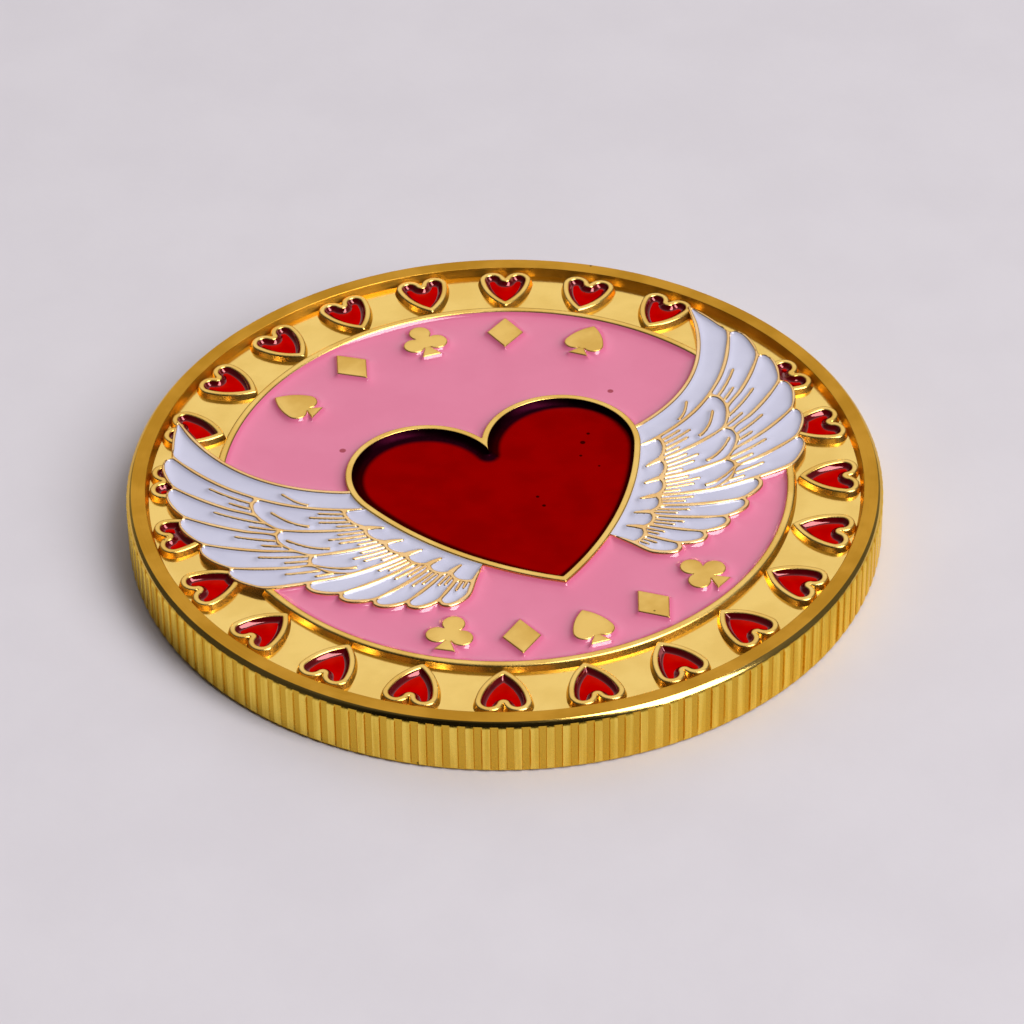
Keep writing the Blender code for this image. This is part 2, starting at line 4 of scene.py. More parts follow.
import bpy
import numpy as np
from mathutils import Matrix, Vector, geometry


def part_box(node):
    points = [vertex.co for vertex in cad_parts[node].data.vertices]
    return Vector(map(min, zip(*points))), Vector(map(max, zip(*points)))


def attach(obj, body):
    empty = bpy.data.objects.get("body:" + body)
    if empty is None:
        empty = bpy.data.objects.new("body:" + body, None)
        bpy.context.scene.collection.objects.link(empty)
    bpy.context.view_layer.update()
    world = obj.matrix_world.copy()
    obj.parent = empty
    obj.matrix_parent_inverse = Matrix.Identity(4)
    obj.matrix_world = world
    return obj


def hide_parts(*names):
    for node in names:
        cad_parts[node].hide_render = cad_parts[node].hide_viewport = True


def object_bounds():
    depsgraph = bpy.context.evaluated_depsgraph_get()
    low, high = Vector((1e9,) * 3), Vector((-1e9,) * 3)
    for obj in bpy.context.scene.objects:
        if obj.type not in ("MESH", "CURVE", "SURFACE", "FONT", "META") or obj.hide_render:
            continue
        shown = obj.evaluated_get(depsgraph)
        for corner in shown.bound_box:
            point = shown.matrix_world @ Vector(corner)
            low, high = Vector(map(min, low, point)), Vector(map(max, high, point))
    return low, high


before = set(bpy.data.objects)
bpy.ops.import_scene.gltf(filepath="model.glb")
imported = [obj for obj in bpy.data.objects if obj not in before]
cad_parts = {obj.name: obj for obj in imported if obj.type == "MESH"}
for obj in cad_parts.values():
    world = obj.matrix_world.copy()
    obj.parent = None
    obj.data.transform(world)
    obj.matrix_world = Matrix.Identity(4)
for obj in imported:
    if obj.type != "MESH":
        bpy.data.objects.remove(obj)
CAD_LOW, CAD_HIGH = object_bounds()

# Sizes of the coin are millimetres, and the design is drawn in shares of its diameter as in the part
MM = 0.001
COIN_DIAMETER = (CAD_HIGH.x - CAD_LOW.x) / MM
COIN_RADIUS = COIN_DIAMETER / 2
COIN_THICKNESS = (CAD_HIGH.z - CAD_LOW.z) / MM

# Blank
SHOULDER_RADIUS = 0.75
SHOULDER_START = radians(57.0)
SHOULDER_STEPS = 10
HEEL_RADIUS = 0.35
HEEL_STEPS = 8
RIM_WIDTH = 0.026 * COIN_DIAMETER
RIM_DRAFT = 0.20
RIM_INNER_ROUND = 0.07
RIM_INNER_STEPS = 8
REVERSE_RECESS = 0.30
REED_COUNT = 156
REED_DEPTH = 0.12
REED_STOP = radians(24.0)
REED_SHARES = (0.0, 0.48, 0.53, 0.95)
REED_SHIFT = 0.05
REED_WEAR = 0.25
REED_SEED = 7

# Levels of the face
FIELD_DEPTH = 0.60
RING_HEIGHT = 0.50
BORDER_HEART_HEIGHT = 0.45
WING_HEIGHT = 0.54
HEART_FRAME_HEIGHT = 0.57
PIP_HEIGHT = 0.47
RELIEF_DRAFT = 0.06
FRAME_DRAFT = 0.22
RELIEF_SINK = 0.30
CENTRE_SINK = 0.45

# Border band and ring
BORDER_WIDTH = 0.090 * COIN_DIAMETER
RING_WIDTH = 0.55
BORDER_HEART_COUNT = 24
BORDER_HEART_TURN = radians(5.0)
BORDER_HEART_WIDTH = 0.072 * COIN_DIAMETER
BORDER_HEART_LENGTH = 0.0794 * COIN_DIAMETER
BORDER_HEART_LOBE = 0.2533 * BORDER_HEART_WIDTH
BORDER_HEART_FLANK = 0.085 * COIN_DIAMETER
BORDER_HEART_FRAME = 0.0084 * COIN_DIAMETER
BORDER_HEART_RIM_GAP = 0.0455 * COIN_DIAMETER

# Large heart
HEART_WIDTH = 0.386 * COIN_DIAMETER
HEART_LENGTH = 0.362 * COIN_DIAMETER
HEART_LOBE = 0.2527 * HEART_WIDTH
HEART_FLANK = 0.480 * COIN_DIAMETER
HEART_FRAME = 0.44
HEART_DROP = 0.041 * COIN_DIAMETER

# Wings
WING_TIP_ANGLE = radians(34.5)
WING_HEEL_ANGLE = radians(-59.0)
WING_HEEL_RADIUS = 0.272 * COIN_DIAMETER
WING_TAPER = 1.6
WING_BOW = 0.048 * COIN_DIAMETER
WING_RIM_GAP = 0.028 * COIN_DIAMETER
WING_TIP_POINT = 0.012 * COIN_DIAMETER
WING_ROOT_INSET = 0.022 * COIN_DIAMETER
WING_ROOT_DROP = 0.012 * COIN_DIAMETER
WING_ROOT_CROWDING = 0.6
WING_HEEL_RISE = 0.084 * COIN_DIAMETER
FEATHER_LINE = 0.0064 * COIN_DIAMETER
FAN_START_SHARE = 0.545
ROOT_SCALLOPS = 6
ROOT_REACH = 0.060 * COIN_DIAMETER
ROOT_TIP = 0.008 * COIN_DIAMETER
COVERT_COUNT = 3
COVERT_SHARE = 0.56
COVERT_TIP = 0.020 * COIN_DIAMETER
PRIMARY_COUNT = 6
PRIMARY_TIP = 0.016 * COIN_DIAMETER
TIP_SPILL = 0.18
FAN_COUNT = 5
FAN_SHARE = 0.78
FAN_TIP = 0.016 * COIN_DIAMETER

# Card-suit marks on two arcs
PIP_LENGTH = 0.068 * COIN_DIAMETER
PIP_FOOT_WIDTH = 0.412 * PIP_LENGTH
PIP_NECK_WIDTH = 0.118 * PIP_LENGTH
DIAMOND_WIDTH = 0.735 * PIP_LENGTH
SPADE_WIDTH = 0.809 * PIP_LENGTH
SPADE_LENGTH = 0.838 * PIP_LENGTH
SPADE_LOBE = 0.2582 * SPADE_WIDTH
SPADE_FLANK = 1.059 * PIP_LENGTH
CLUB_LOBE = 0.221 * PIP_LENGTH
CLUB_SPREAD = 0.235 * PIP_LENGTH
CLUB_FALL = 0.088 * PIP_LENGTH
PIP_RING_GAP = 0.20 * PIP_LENGTH
UPPER_PIP_PITCH = radians(20.0)
LOWER_PIP_PITCH = radians(16.0)
UPPER_PIPS = ("spade", "diamond", "club", "diamond", "spade")
LOWER_PIPS = ("club", "diamond", "spade", "diamond", "club")

# Sampling of the outlines
SPACING = 0.10
SCALLOP_STEPS = 4
FEATHER_SIDE_STEPS = 3
LEADING_SIDE_STEPS = 8
NEAREST_SHARE = 0.02
MITRE_LIMIT = 0.3
ROW_TOLERANCE = 0.97
BLUNT = 2 * cos(radians(12.0))
CORNER = radians(70.0)
KINK = radians(35.0)
POOL_ROUND = 0.22
EPSILON = 1e-5
CHUNK = 800
SHARP_ANGLE = radians(38.0)
REED_SHARP_ANGLE = radians(14.0)

# Worked-out places
FIELD_RADIUS = COIN_RADIUS - RIM_WIDTH
RING_RADIUS = FIELD_RADIUS - BORDER_WIDTH
POOL_RADIUS = RING_RADIUS - RING_WIDTH
FIELD_Z = COIN_THICKNESS - FIELD_DEPTH
PIP_ARC_RADIUS = POOL_RADIUS - PIP_RING_GAP - PIP_LENGTH / 2
LEADING_SHARE = FAN_START_SHARE / PRIMARY_COUNT


class Heart:
    """Heart of two lobe arcs and two flatter flank arcs, lobes up, centred on its own height."""

    def __init__(self, width, length, lobe, flank):
        self.lobe = lobe
        self.flank = flank
        self.lobe_x = width / 2 - lobe
        self.lobe_y = length / 2 - lobe
        down = -length / 2 - self.lobe_y
        reach = hypot(self.lobe_x, down)
        step = flank - lobe
        share = (flank**2 - step**2 - reach**2) / (2 * step * reach)
        self.join = atan2(down, -self.lobe_x) + acos(share)
        self.flank_x = self.lobe_x - step * cos(self.join)
        self.flank_y = self.lobe_y - step * sin(self.join)

    def half_width(self, y):
        """Distance from the axis to the side at height y."""
        if y > self.lobe_y + self.lobe * sin(self.join):
            return self.lobe_x + sqrt(self.lobe**2 - (y - self.lobe_y) ** 2)
        return self.flank_x + sqrt(self.flank**2 - (y - self.flank_y) ** 2)

    def outline(self, grow):
        """Counter-clockwise outline from the point round, moved outwards by grow."""
        lobe = self.lobe + grow
        flank = self.flank + grow
        notch = atan2(sqrt(max(lobe**2 - self.lobe_x**2, 0.0)), -self.lobe_x)
        return self.whole(lobe, flank, notch, [])

    def knobbed(self, inset):
        """Outline moved inwards, with a round knob where its notch was."""
        rise = sqrt(self.lobe**2 - self.lobe_x**2)
        notch = atan2(rise, -self.lobe_x)
        knob = arc(0.0, self.lobe_y + rise, inset, notch - pi, -pi / 2)
        return self.whole(self.lobe - inset, self.flank - inset, notch, [knob[1:]])

    def whole(self, lobe, flank, notch, knob):
        """Outline of a right side and its mirror image."""
        point = atan2(-sqrt(flank**2 - self.flank_x**2), -self.flank_x)
        rise = arc(self.flank_x, self.flank_y, flank, point, self.join)
        bend = arc(self.lobe_x, self.lobe_y, lobe, self.join, notch)
        side = np.concatenate([rise[:-1], bend] + knob)
        side[[0, -1], 0] = 0.0
        return np.concatenate([side, side[-2:0:-1] * (-1, 1)])


def arc(x, y, radius, start, stop):
    """Points on an arc, both ends included."""
    steps = max(2, round(abs(stop - start) * radius / SPACING))
    angles = np.linspace(start, stop, steps + 1)
    return np.stack([x + radius * np.cos(angles), y + radius * np.sin(angles)], 1)


def circle(radius):
    """Counter-clockwise circle about the coin's axis."""
    return arc(0.0, 0.0, radius, 0.0, 2 * pi)[:-1]


def place(outline, turn, x, y):
    """Outline turned about its origin and set at x, y."""
    along, aside = cos(turn), sin(turn)
    return np.asarray(outline) @ np.array([[along, aside], [-aside, along]]) + (x, y)


def mirror(outline):
    """Outline mirrored in the Y axis, kept counter-clockwise."""
    return np.asarray(outline)[::-1] * (-1, 1)


def lengths(vectors):
    """Length of each vector, as a column."""
    return np.linalg.norm(vectors, axis=1, keepdims=True)


def strides(points):
    """Vectors to each point of a closed outline and on from it."""
    return points - np.roll(points, 1, 0), np.roll(points, -1, 0) - points


def grown(outline, distance):
    """Counter-clockwise outline with every side moved outwards by distance."""
    points = np.asarray(outline, float)
    normals = []
    for side in strides(points):
        side = side / lengths(side)
        normals.append(np.stack([side[:, 1], -side[:, 0]], 1))
    scale = distance / np.maximum(1 + (normals[0] * normals[1]).sum(1), MITRE_LIMIT)
    return points + scale[:, None] * (normals[0] + normals[1])


def turns(points):
    """Turning angle at each point of a closed outline."""
    before, after = strides(points)
    cross = before[:, 0] * after[:, 1] - before[:, 1] * after[:, 0]
    return np.abs(np.arctan2(cross, (before * after).sum(1)))


def smooth(outline):
    """Closed outline curved through its points, straight into its corners, evenly sampled."""
    points = np.asarray(outline, float)
    corner = turns(points) > CORNER
    count = len(points)
    found = []
    for i in range(count):
        j = (i + 1) % count
        here, there = points[i], points[j]
        last = 2 * here - there if corner[i] else points[i - 1]
        later = 2 * there - here if corner[j] else points[(i + 2) % count]
        span = dist(here, there)
        leave = (there - last) * span / (span + dist(here, last))
        reach = (later - here) * span / (span + dist(there, later))
        steps = max(1, round(span / SPACING))
        t = np.arange(steps)[:, None] / steps
        found.append((1 + 2 * t) * (1 - t) ** 2 * here + t * (1 - t) ** 2 * leave
                     + t * t * (3 - 2 * t) * there + t * t * (t - 1) * reach)
    return np.concatenate(found)


def rounded(outline, radius):
    """Evenly sampled outline, its corners rounded over about a radius each way."""
    points = np.asarray(outline, float)
    result = points.copy()
    cut = max(1, round(radius / SPACING))
    for i in np.flatnonzero(turns(points) > KINK):
        index = np.arange(i - cut, i + cut + 1) % len(points)
        t = np.linspace(0, 1, len(index))[:, None]
        ends = (1 - t) ** 2 * points[index[0]] + t * t * points[index[-1]]
        result[index] = ends + 2 * t * (1 - t) * points[i]
    return result


BORDER_HEART = Heart(BORDER_HEART_WIDTH, BORDER_HEART_LENGTH, BORDER_HEART_LOBE, BORDER_HEART_FLANK)
LARGE_HEART = Heart(HEART_WIDTH, HEART_LENGTH, HEART_LOBE, HEART_FLANK)


def large_heart(grow):
    """Outline of the large heart's recess, moved outwards by grow."""
    return LARGE_HEART.outline(grow) - (0.0, HEART_DROP)


def border_heart(index, outline):
    """Heart's outline at its place in the border, point towards the coin's centre."""
    turn = -BORDER_HEART_TURN - index * 2 * pi / BORDER_HEART_COUNT
    radius = FIELD_RADIUS - BORDER_HEART_RIM_GAP
    return place(outline, turn, -radius * sin(turn), radius * cos(turn))


def wing_root(across):
    """Where the right wing starts, just inside the large heart's side."""
    top = LARGE_HEART.lobe_y - WING_ROOT_DROP
    heel = -HEART_LENGTH / 2 + WING_HEEL_RISE
    y = top + (heel - top) * across**WING_ROOT_CROWDING
    return LARGE_HEART.half_width(y) - WING_ROOT_INSET, y - HEART_DROP


def wing_edge(across):
    """Where the right wing's feathers part at their tips."""
    reach = FIELD_RADIUS - WING_RIM_GAP
    radius = reach - (reach - WING_HEEL_RADIUS) * across**WING_TAPER
    angle = WING_TIP_ANGLE + (WING_HEEL_ANGLE - WING_TIP_ANGLE) * across
    return radius * cos(angle), radius * sin(angle)


def wing_length(across):
    """Straight distance from the root to the parting of the feather tips."""
    return dist(wing_root(across), wing_edge(across))


def wing_point(across, along):
    """Point of the right wing: across from leading edge to heel, along from root to tips."""
    ax, ay = wing_root(across)
    bx, by = wing_edge(across)
    bow = WING_BOW * (1 - across) * 4 * along * (1 - along) / wing_length(across)
    return ax + along * (bx - ax) + bow * (by - ay), ay + along * (by - ay) - bow * (bx - ax)


class FeatherRow:
    """One row of rounded feather ends across part of the wing."""

    def __init__(self, start, stop, count, share, reach, tip, point):
        self.share = share
        self.reach = reach
        self.tip = tip
        self.point = point
        self.parts = [start + (stop - start) * i / count for i in range(count + 1)]

    def rise(self, index, share):
        """Length of a feather's end past its partings."""
        if index == 0 and self.point:
            return self.point * (1 - share)
        return self.tip * 4 * share * (1 - share)

    def along(self, across):
        """How far along the wing this row ends at a place across it."""
        index = max(i for i, part in enumerate(self.parts[:-1]) if part <= across)
        return self.end(index, across)

    def end(self, index, across):
        """How far along the wing one feather ends at a place across it."""
        low, high = self.parts[index:index + 2]
        share = (across - low) / (high - low)
        return self.share + (self.reach + self.rise(index, share)) / wing_length(across)

    def samples(self, start, stop):
        """Points (across, along) on the feather ends between two places across the wing."""
        found = []
        for index, (low, high) in enumerate(zip(self.parts, self.parts[1:])):
            if high <= start or low >= stop:
                continue
            for step in range(SCALLOP_STEPS + 1):
                across = min(max(low + (high - low) * (step / SCALLOP_STEPS), start), stop)
                if 0 < min(across - start, stop - across) < NEAREST_SHARE:
                    continue
                if not found or across > found[-1][0]:
                    found.append((across, self.end(index, across)))
        return found


ROOT_ROW = FeatherRow(LEADING_SHARE, 1.0, ROOT_SCALLOPS, 0.0, ROOT_REACH, ROOT_TIP, 0.0)
COVERT_ROW = FeatherRow(LEADING_SHARE, FAN_START_SHARE, COVERT_COUNT, COVERT_SHARE, 0.0, COVERT_TIP, 0.0)
PRIMARY_ROW = FeatherRow(0.0, FAN_START_SHARE, PRIMARY_COUNT, 1.0, 0.0, PRIMARY_TIP, WING_TIP_POINT)
SPILL_ROW = FeatherRow(0.0, FAN_START_SHARE, PRIMARY_COUNT, 1.0, TIP_SPILL, PRIMARY_TIP, WING_TIP_POINT)
FAN_ROW = FeatherRow(FAN_START_SHARE, 1.0, FAN_COUNT, FAN_SHARE, 0.0, FAN_TIP, 0.0)


def feather_side(across, start, stop, steps):
    """Points between two places along one parting line, ends left out."""
    return [(across, start + (stop - start) * i / steps) for i in range(1, steps)]


def wing_loop(near, ends, far, base):
    """Counter-clockwise outline of a cell of the right wing from lists of (across, along)."""
    loop = near + ends + far[::-1] + base[::-1]
    return [wing_point(across, along) for across, along in reversed(loop)]


def feather(row, index, inner):
    """Outline of one feather of the right wing, out to its parting lines."""
    low, high = row.parts[index], row.parts[index + 1]
    base = inner.samples(low, high)
    ends = row.samples(low, high)
    near = feather_side(low, base[0][1], ends[0][1], FEATHER_SIDE_STEPS)
    far = feather_side(high, base[-1][1], ends[-1][1], FEATHER_SIDE_STEPS)
    return wing_loop(near, ends, far, base)


def leading_feather():
    """Outline of the right wing's front feather, running in under the heart frame."""
    ends = SPILL_ROW.samples(0.0, LEADING_SHARE)
    near = feather_side(0.0, 0.0, ends[0][1], LEADING_SIDE_STEPS)
    far = feather_side(LEADING_SHARE, 0.0, ends[-1][1], LEADING_SIDE_STEPS)
    return wing_loop(near, ends, far, [(0.0, 0.0), (LEADING_SHARE, 0.0)])


def root_patch():
    """Outline of the right wing's root, running in under the heart frame."""
    return wing_loop([], ROOT_ROW.samples(LEADING_SHARE, 1.0), [], [(LEADING_SHARE, 0.0), (1.0, 0.0)])


def wing_outline():
    """Outline of the right wing through its outermost lines."""
    ends = PRIMARY_ROW.samples(0.0, FAN_START_SHARE) + FAN_ROW.samples(FAN_START_SHARE, 1.0)
    near = feather_side(0.0, 0.0, ends[0][1], LEADING_SIDE_STEPS)
    far = feather_side(1.0, 0.0, ends[-1][1], FEATHER_SIDE_STEPS)
    return wing_loop(near, ends, far, [(0.0, 0.0), (1.0, 0.0)])


def feather_pools():
    """Names and outlines of the right wing's feather recesses."""
    cells = [("root", root_patch()), ("leading", leading_feather())]
    cells += [(f"covert_{i + 1}", feather(COVERT_ROW, i, ROOT_ROW)) for i in range(COVERT_COUNT)]
    cells += [(f"primary_{i}", feather(SPILL_ROW, i, COVERT_ROW)) for i in range(1, PRIMARY_COUNT)]
    cells += [(f"fan_{i + 1}", feather(FAN_ROW, i, ROOT_ROW)) for i in range(FAN_COUNT)]
    return [(name, rounded(smooth(grown(cell, -FEATHER_LINE / 2)), POOL_ROUND)) for name, cell in cells]


def straight(points):
    """Closed outline with straight sides, evenly sampled."""
    points = np.asarray(points, float)
    found = []
    for here, there in zip(points, np.roll(points, -1, 0)):
        steps = max(1, round(dist(here, there) / SPACING))
        found.append(here + (there - here) * np.arange(steps)[:, None] / steps)
    return np.concatenate(found)


def diamond():
    """Card diamond."""
    wide, tall = DIAMOND_WIDTH / 2, PIP_LENGTH / 2
    return straight([(0.0, -tall), (wide, 0.0), (0.0, tall), (-wide, 0.0)])


def neck_angle(lobe_x, lobe):
    """Angle on the right lobe where the foot's neck leaves it."""
    return -acos(max((PIP_NECK_WIDTH / 2 - lobe_x) / lobe, -1.0))


def footed(side, top):
    """Mark with a flared foot, its right side from the neck upwards and its top points."""
    foot, low = PIP_FOOT_WIDTH / 2, -PIP_LENGTH / 2
    return straight(np.concatenate([[(-foot, low), (foot, low)], side, top, mirror(side)]))


def spade():
    """Card spade: a heart on its head, with a foot where its notch was."""
    heart = Heart(SPADE_WIDTH, SPADE_LENGTH, SPADE_LOBE, SPADE_FLANK)
    middle = (PIP_LENGTH - SPADE_LENGTH) / 2
    x, y = heart.lobe_x, middle - heart.lobe_y
    side = arc(x, y, SPADE_LOBE, neck_angle(x, SPADE_LOBE), -heart.join)
    x, y = heart.flank_x, middle - heart.flank_y
    flank = arc(x, y, SPADE_FLANK, -heart.join, acos(-x / SPADE_FLANK))
    return footed(np.concatenate([side, flank[1:-1]]), flank[-1:])


def club():
    """Card club: three equal lobes and a foot."""
    top_y = PIP_LENGTH / 2 - CLUB_LOBE
    rise = top_y + CLUB_FALL
    lean = atan2(rise, -CLUB_SPREAD)
    half = acos(min(hypot(CLUB_SPREAD, rise) / (2 * CLUB_LOBE), 1.0))
    start = neck_angle(CLUB_SPREAD, CLUB_LOBE)
    side = arc(CLUB_SPREAD, -CLUB_FALL, CLUB_LOBE, start, lean - half)
    start = lean - pi + half
    top = arc(0.0, top_y, CLUB_LOBE, start, pi - start)
    return footed(side, top[1:-1])


PIP_SHAPES = {"diamond": diamond, "spade": spade, "club": club}


def pips():
    """All card-suit marks, heads away from the centre above and towards it below."""
    outlines = []
    for names, pitch, sign in ((UPPER_PIPS, UPPER_PIP_PITCH, 1), (LOWER_PIPS, LOWER_PIP_PITCH, -1)):
        for i, name in enumerate(names):
            turn = (i - (len(names) - 1) / 2) * pitch
            x = PIP_ARC_RADIUS * sin(turn)
            y = PIP_ARC_RADIUS * cos(turn) * sign
            outlines.append(place(PIP_SHAPES[name](), -turn * sign, x, y))
    return outlines


def contains(loop, points):
    """Whether each point lies inside a loop."""
    held = np.zeros(len(points), bool)
    near = np.flatnonzero(((points > loop.min(0)) & (points < loop.max(0))).all(1))
    (ax, ay), (bx, by) = loop.T, np.roll(loop, -1, 0).T
    rise = np.where(by == ay, 1.0, by - ay)
    for start in range(0, len(near), CHUNK):
        index = near[start:start + CHUNK]
        x, y = points[index, :1], points[index, 1:]
        crossed = ((ay > y) != (by > y)) & (x < ax + (bx - ax) * (y - ay) / rise)
        held[index] = crossed.sum(1) % 2 == 1
    return held


def within(inside, outside, points):
    """Whether each point lies in an inside loop and in no outside loop."""
    held = np.zeros(len(points), bool)
    for loop in inside:
        held |= contains(loop, points)
    for loop in outside:
        held &= ~contains(loop, points)
    return held


def edge_distance(points, starts, ends):
    """Distance from each point to the nearest of the given sides."""
    found = np.zeros(len(points))
    run = ends - starts
    length = np.maximum((run**2).sum(1), EPSILON**2)
    for start in range(0, len(points), CHUNK):
        offset = points[start:start + CHUNK, None] - starts
        share = np.clip((offset * run).sum(2) / length, 0, 1)
        gap = offset - share[..., None] * run
        found[start:start + CHUNK] = np.sqrt((gap**2).sum(2).min(1))
    return found


def triangulate(points, edges, inside, outside):
    """Corners and counter-clockwise triangles of a region over given points and sides."""
    corners = [Vector((float(x), float(y))) for x, y in points]
    result = geometry.delaunay_2d_cdt(corners, edges, [], 0, EPSILON)
    places = np.array([v[:] for v in result[0]])
    triangles = np.array([f for f in result[2] if len(f) == 3])
    a, b, c = places[triangles].transpose(1, 0, 2)
    area = (b[:, 0] - a[:, 0]) * (c[:, 1] - a[:, 1]) - (b[:, 1] - a[:, 1]) * (c[:, 0] - a[:, 0])
    triangles[area < 0] = triangles[area < 0][:, ::-1]
    kept = within(inside, outside, (a + b + c) / 3) & (np.abs(area) > EPSILON**2)
    triangles = triangles[kept]
    used, triangles = np.unique(triangles, return_inverse=True)
    return places[used], triangles.reshape(-1, 3)


def rim_edges(triangles):
    """Directed sides that only one triangle has, the region on their left."""
    sides = np.concatenate([triangles[:, [0, 1]], triangles[:, [1, 2]], triangles[:, [2, 0]]])
    count = triangles.max() + 1
    alone = ~np.isin(sides[:, 0] * count + sides[:, 1], sides[:, 1] * count + sides[:, 0])
    return sides[alone]


def bisectors(points, rim):
    """Inward direction of each directed side, and the sum of two of them at each point."""
    run = points[rim[:, 1]] - points[rim[:, 0]]
    inward = np.stack([-run[:, 1], run[:, 0]], 1) / lengths(run)
    corner = np.zeros_like(points)
    for end in (0, 1):
        np.add.at(corner, rim[:, end], inward)
    return inward, corner


class Patch:
    """Triangles of a flat region, with staggered rows of points at set distances from its edge."""

    def __init__(self, inside, outside, rows, spacing):
        loops = inside + outside
        edges = []
        for loop in loops:
            first = len(edges)
            edges += [(first + i, first + (i + 1) % len(loop)) for i in range(len(loop))]
        places, triangles = triangulate(np.concatenate(loops), edges, inside, outside)
        rim = rim_edges(triangles)
        used, rim = np.unique(rim, return_inverse=True)
        rim = rim.reshape(-1, 2)
        border = places[used]
        starts, ends = border[rim[:, 0]], border[rim[:, 1]]
        inward, corner = bisectors(border, rim)
        spread = np.maximum(lengths(corner), EPSILON)
        corner /= spread
        sharp = spread[:, 0] < BLUNT
        added = [border]
        for i, distance in enumerate(rows):
            row = border + corner * distance
            if i % 2 == 0:
                row = np.concatenate([row[sharp], (starts + ends) / 2 + inward * distance])
            row = row[within(inside, outside, row)]
            added.append(row[edge_distance(row, starts, ends) > ROW_TOLERANCE * distance])
        if spacing:
            low, high = border.min(0), border.max(0)
            xs = np.arange(low[0], high[0], spacing)
            ys = np.arange(low[1], high[1], spacing * sqrt(0.75))
            grid = np.stack(np.meshgrid(xs, ys), 2)
            grid[1::2, :, 0] += spacing / 2
            grid = grid.reshape(-1, 2)
            grid = grid[within(inside, outside, grid)]
            added.append(grid[edge_distance(grid, starts, ends) > rows[-1] + spacing / 2])
        sides = [tuple(side) for side in rim.tolist()]
        self.points, self.triangles = triangulate(np.concatenate(added), sides, inside, outside)
        self.rim = rim_edges(self.triangles)
        self.depth = edge_distance(self.points, starts, ends)
        index = np.unique(self.rim)
        self.depth[index] = 0.0
        back = np.full(len(self.points), -1)
        back[index] = np.arange(len(index))
        under, cap = triangulate(self.points[index], back[self.rim].tolist(), inside, outside)
        nearest = [int(np.argmin(((self.points[index] - p) ** 2).sum(1))) for p in under]
        self.cap = index[np.array(nearest)][cap]

    def solid(self, heights, base, draft):
        """Vertices and faces of the closed body under the patch at the given heights."""
        count = len(self.points)
        top = np.column_stack([self.points, heights])
        rim_points = np.unique(self.rim)
        lower = np.full(count, -1)
        lower[rim_points] = count + np.arange(len(rim_points))
        out = -bisectors(self.points, self.rim)[1][rim_points]
        out /= np.maximum(lengths(out), EPSILON)
        foot = np.column_stack([self.points[rim_points] + draft * out, np.full(len(rim_points), base)])
        a, b = self.rim.T
        walls = np.stack([a, lower[a], lower[b], b], 1)
        faces = self.triangles.tolist() + walls.tolist() + lower[self.cap[:, ::-1]].tolist()
        return np.concatenate([top, foot]), faces


def add_object(name, data):
    """New object in the scene."""
    item = bpy.data.objects.new(name, data)
    bpy.context.scene.collection.objects.link(item)
    return item


def new_piece(name, vertices, faces, material, replaced, slot):
    """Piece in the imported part's frame from vertices in millimetres."""
    data = bpy.data.meshes.new(name)
    data.from_pydata((np.asarray(vertices) * MM).tolist(), [], faces)
    data.validate()
    data.materials.append(material)
    data.shade_smooth()
    data.set_sharp_from_angle(angle=SHARP_ANGLE)
    piece = add_object(name, data)
    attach(piece, "root")
    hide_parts(replaced)
    return piece


def flipped(vertices, faces):
    """Body mirrored in the Y axis, facing out."""
    return vertices * (-1, 1, 1), [face[::-1] for face in faces]


def struck(inside, outside, height, rounding, draft=RELIEF_DRAFT, spacing=0):
    """Body of a raised relief on the field, its upper edges rounded over a width and a drop."""
    width, drop = rounding
    patch = Patch(inside, outside, [width * share for share in ROUND_SHARES], spacing)
    share = 1 - np.clip(patch.depth / width, 0, 1)
    heights = FIELD_Z + height - drop * (1 - np.sqrt(1 - share**2))
    return patch.solid(heights, FIELD_Z - RELIEF_SINK, draft)


def poured(patch, level, climb, base, lines):
    """Body of an enamel pool that climbs the metal round it and the lines that stand in it."""
    rise, reach = climb
    near = patch.depth
    for line in lines:
        if (line.max(0) > patch.points.min(0)).all() and (line.min(0) < patch.points.max(0)).all():
            gap = edge_distance(patch.points, line, np.roll(line, -1, 0))
            near = np.minimum(near, np.where(contains(line, patch.points), 0.0, gap))
    return patch.solid(level + rise * np.exp(-near / reach), base, 0.0)


# Materials: sizes in millimetres

# Parts of a noise's range over which a tone drifts and a grain varies
CLOUD = (0.35, 0.65)
GRAIN = (0.3, 0.7)
# Noises: size of their features, detail
GOLD_TONE = (3.0, 3.0)
REED_TONE = (0.45, 2.0)
GOLD_GRAIN = (0.05, 4.0)
ENAMEL_TONE = (4.0, 3.0)
ENAMEL_GRAIN = (0.6, 3.0)
RED_GRAIN = (0.5, 3.0)
BLOTCH_DETAIL = 2.0
FLOOR_TONE = (9.0, 5.0)
# Waves in a surface: size, detail, strength
GOLD_WAVE = (0.9, 2.0, 0.6)
ENAMEL_WAVE = (1.1, 2.0, 0.7)
RED_WAVE = (0.8, 2.0, 0.5)
FLOOR_WAVE = (1.5, 5.0, 0.4)
# Depth of the waves: as a share of the gold's grain, on clear red, on the floor
GOLD_WAVE_SHARE = 0.5
RED_WAVE_DEPTH = 0.003
FLOOR_WAVE_DEPTH = 0.05
ENAMEL_GLOSS = 0.7
# Specks: size of their cells, radius, share of the cells that have one
GOLD_PITS = (3.4, 0.12, 0.30)
ENAMEL_DUST = (3.1, 0.06, 0.22)
RED_DOTS = (2.8, 0.17, 0.28)
PIT_SHADE = 0.25
DUST_SHADE = 0.45
DOT_SHADE = 0.15
# Share of a speck's or spot's radius that is full
SPECK_CORE = 0.6
SPOT_CORE = 0.7
# Stretch of the tone on the reeds along the edge, outwards and up
REED_STRETCH = (1, 60, 20)
# Shares of a groove's depth where its painted shade is full and where it ends
GROOVE_SHADE_SHARES = (0.8, 0.2)


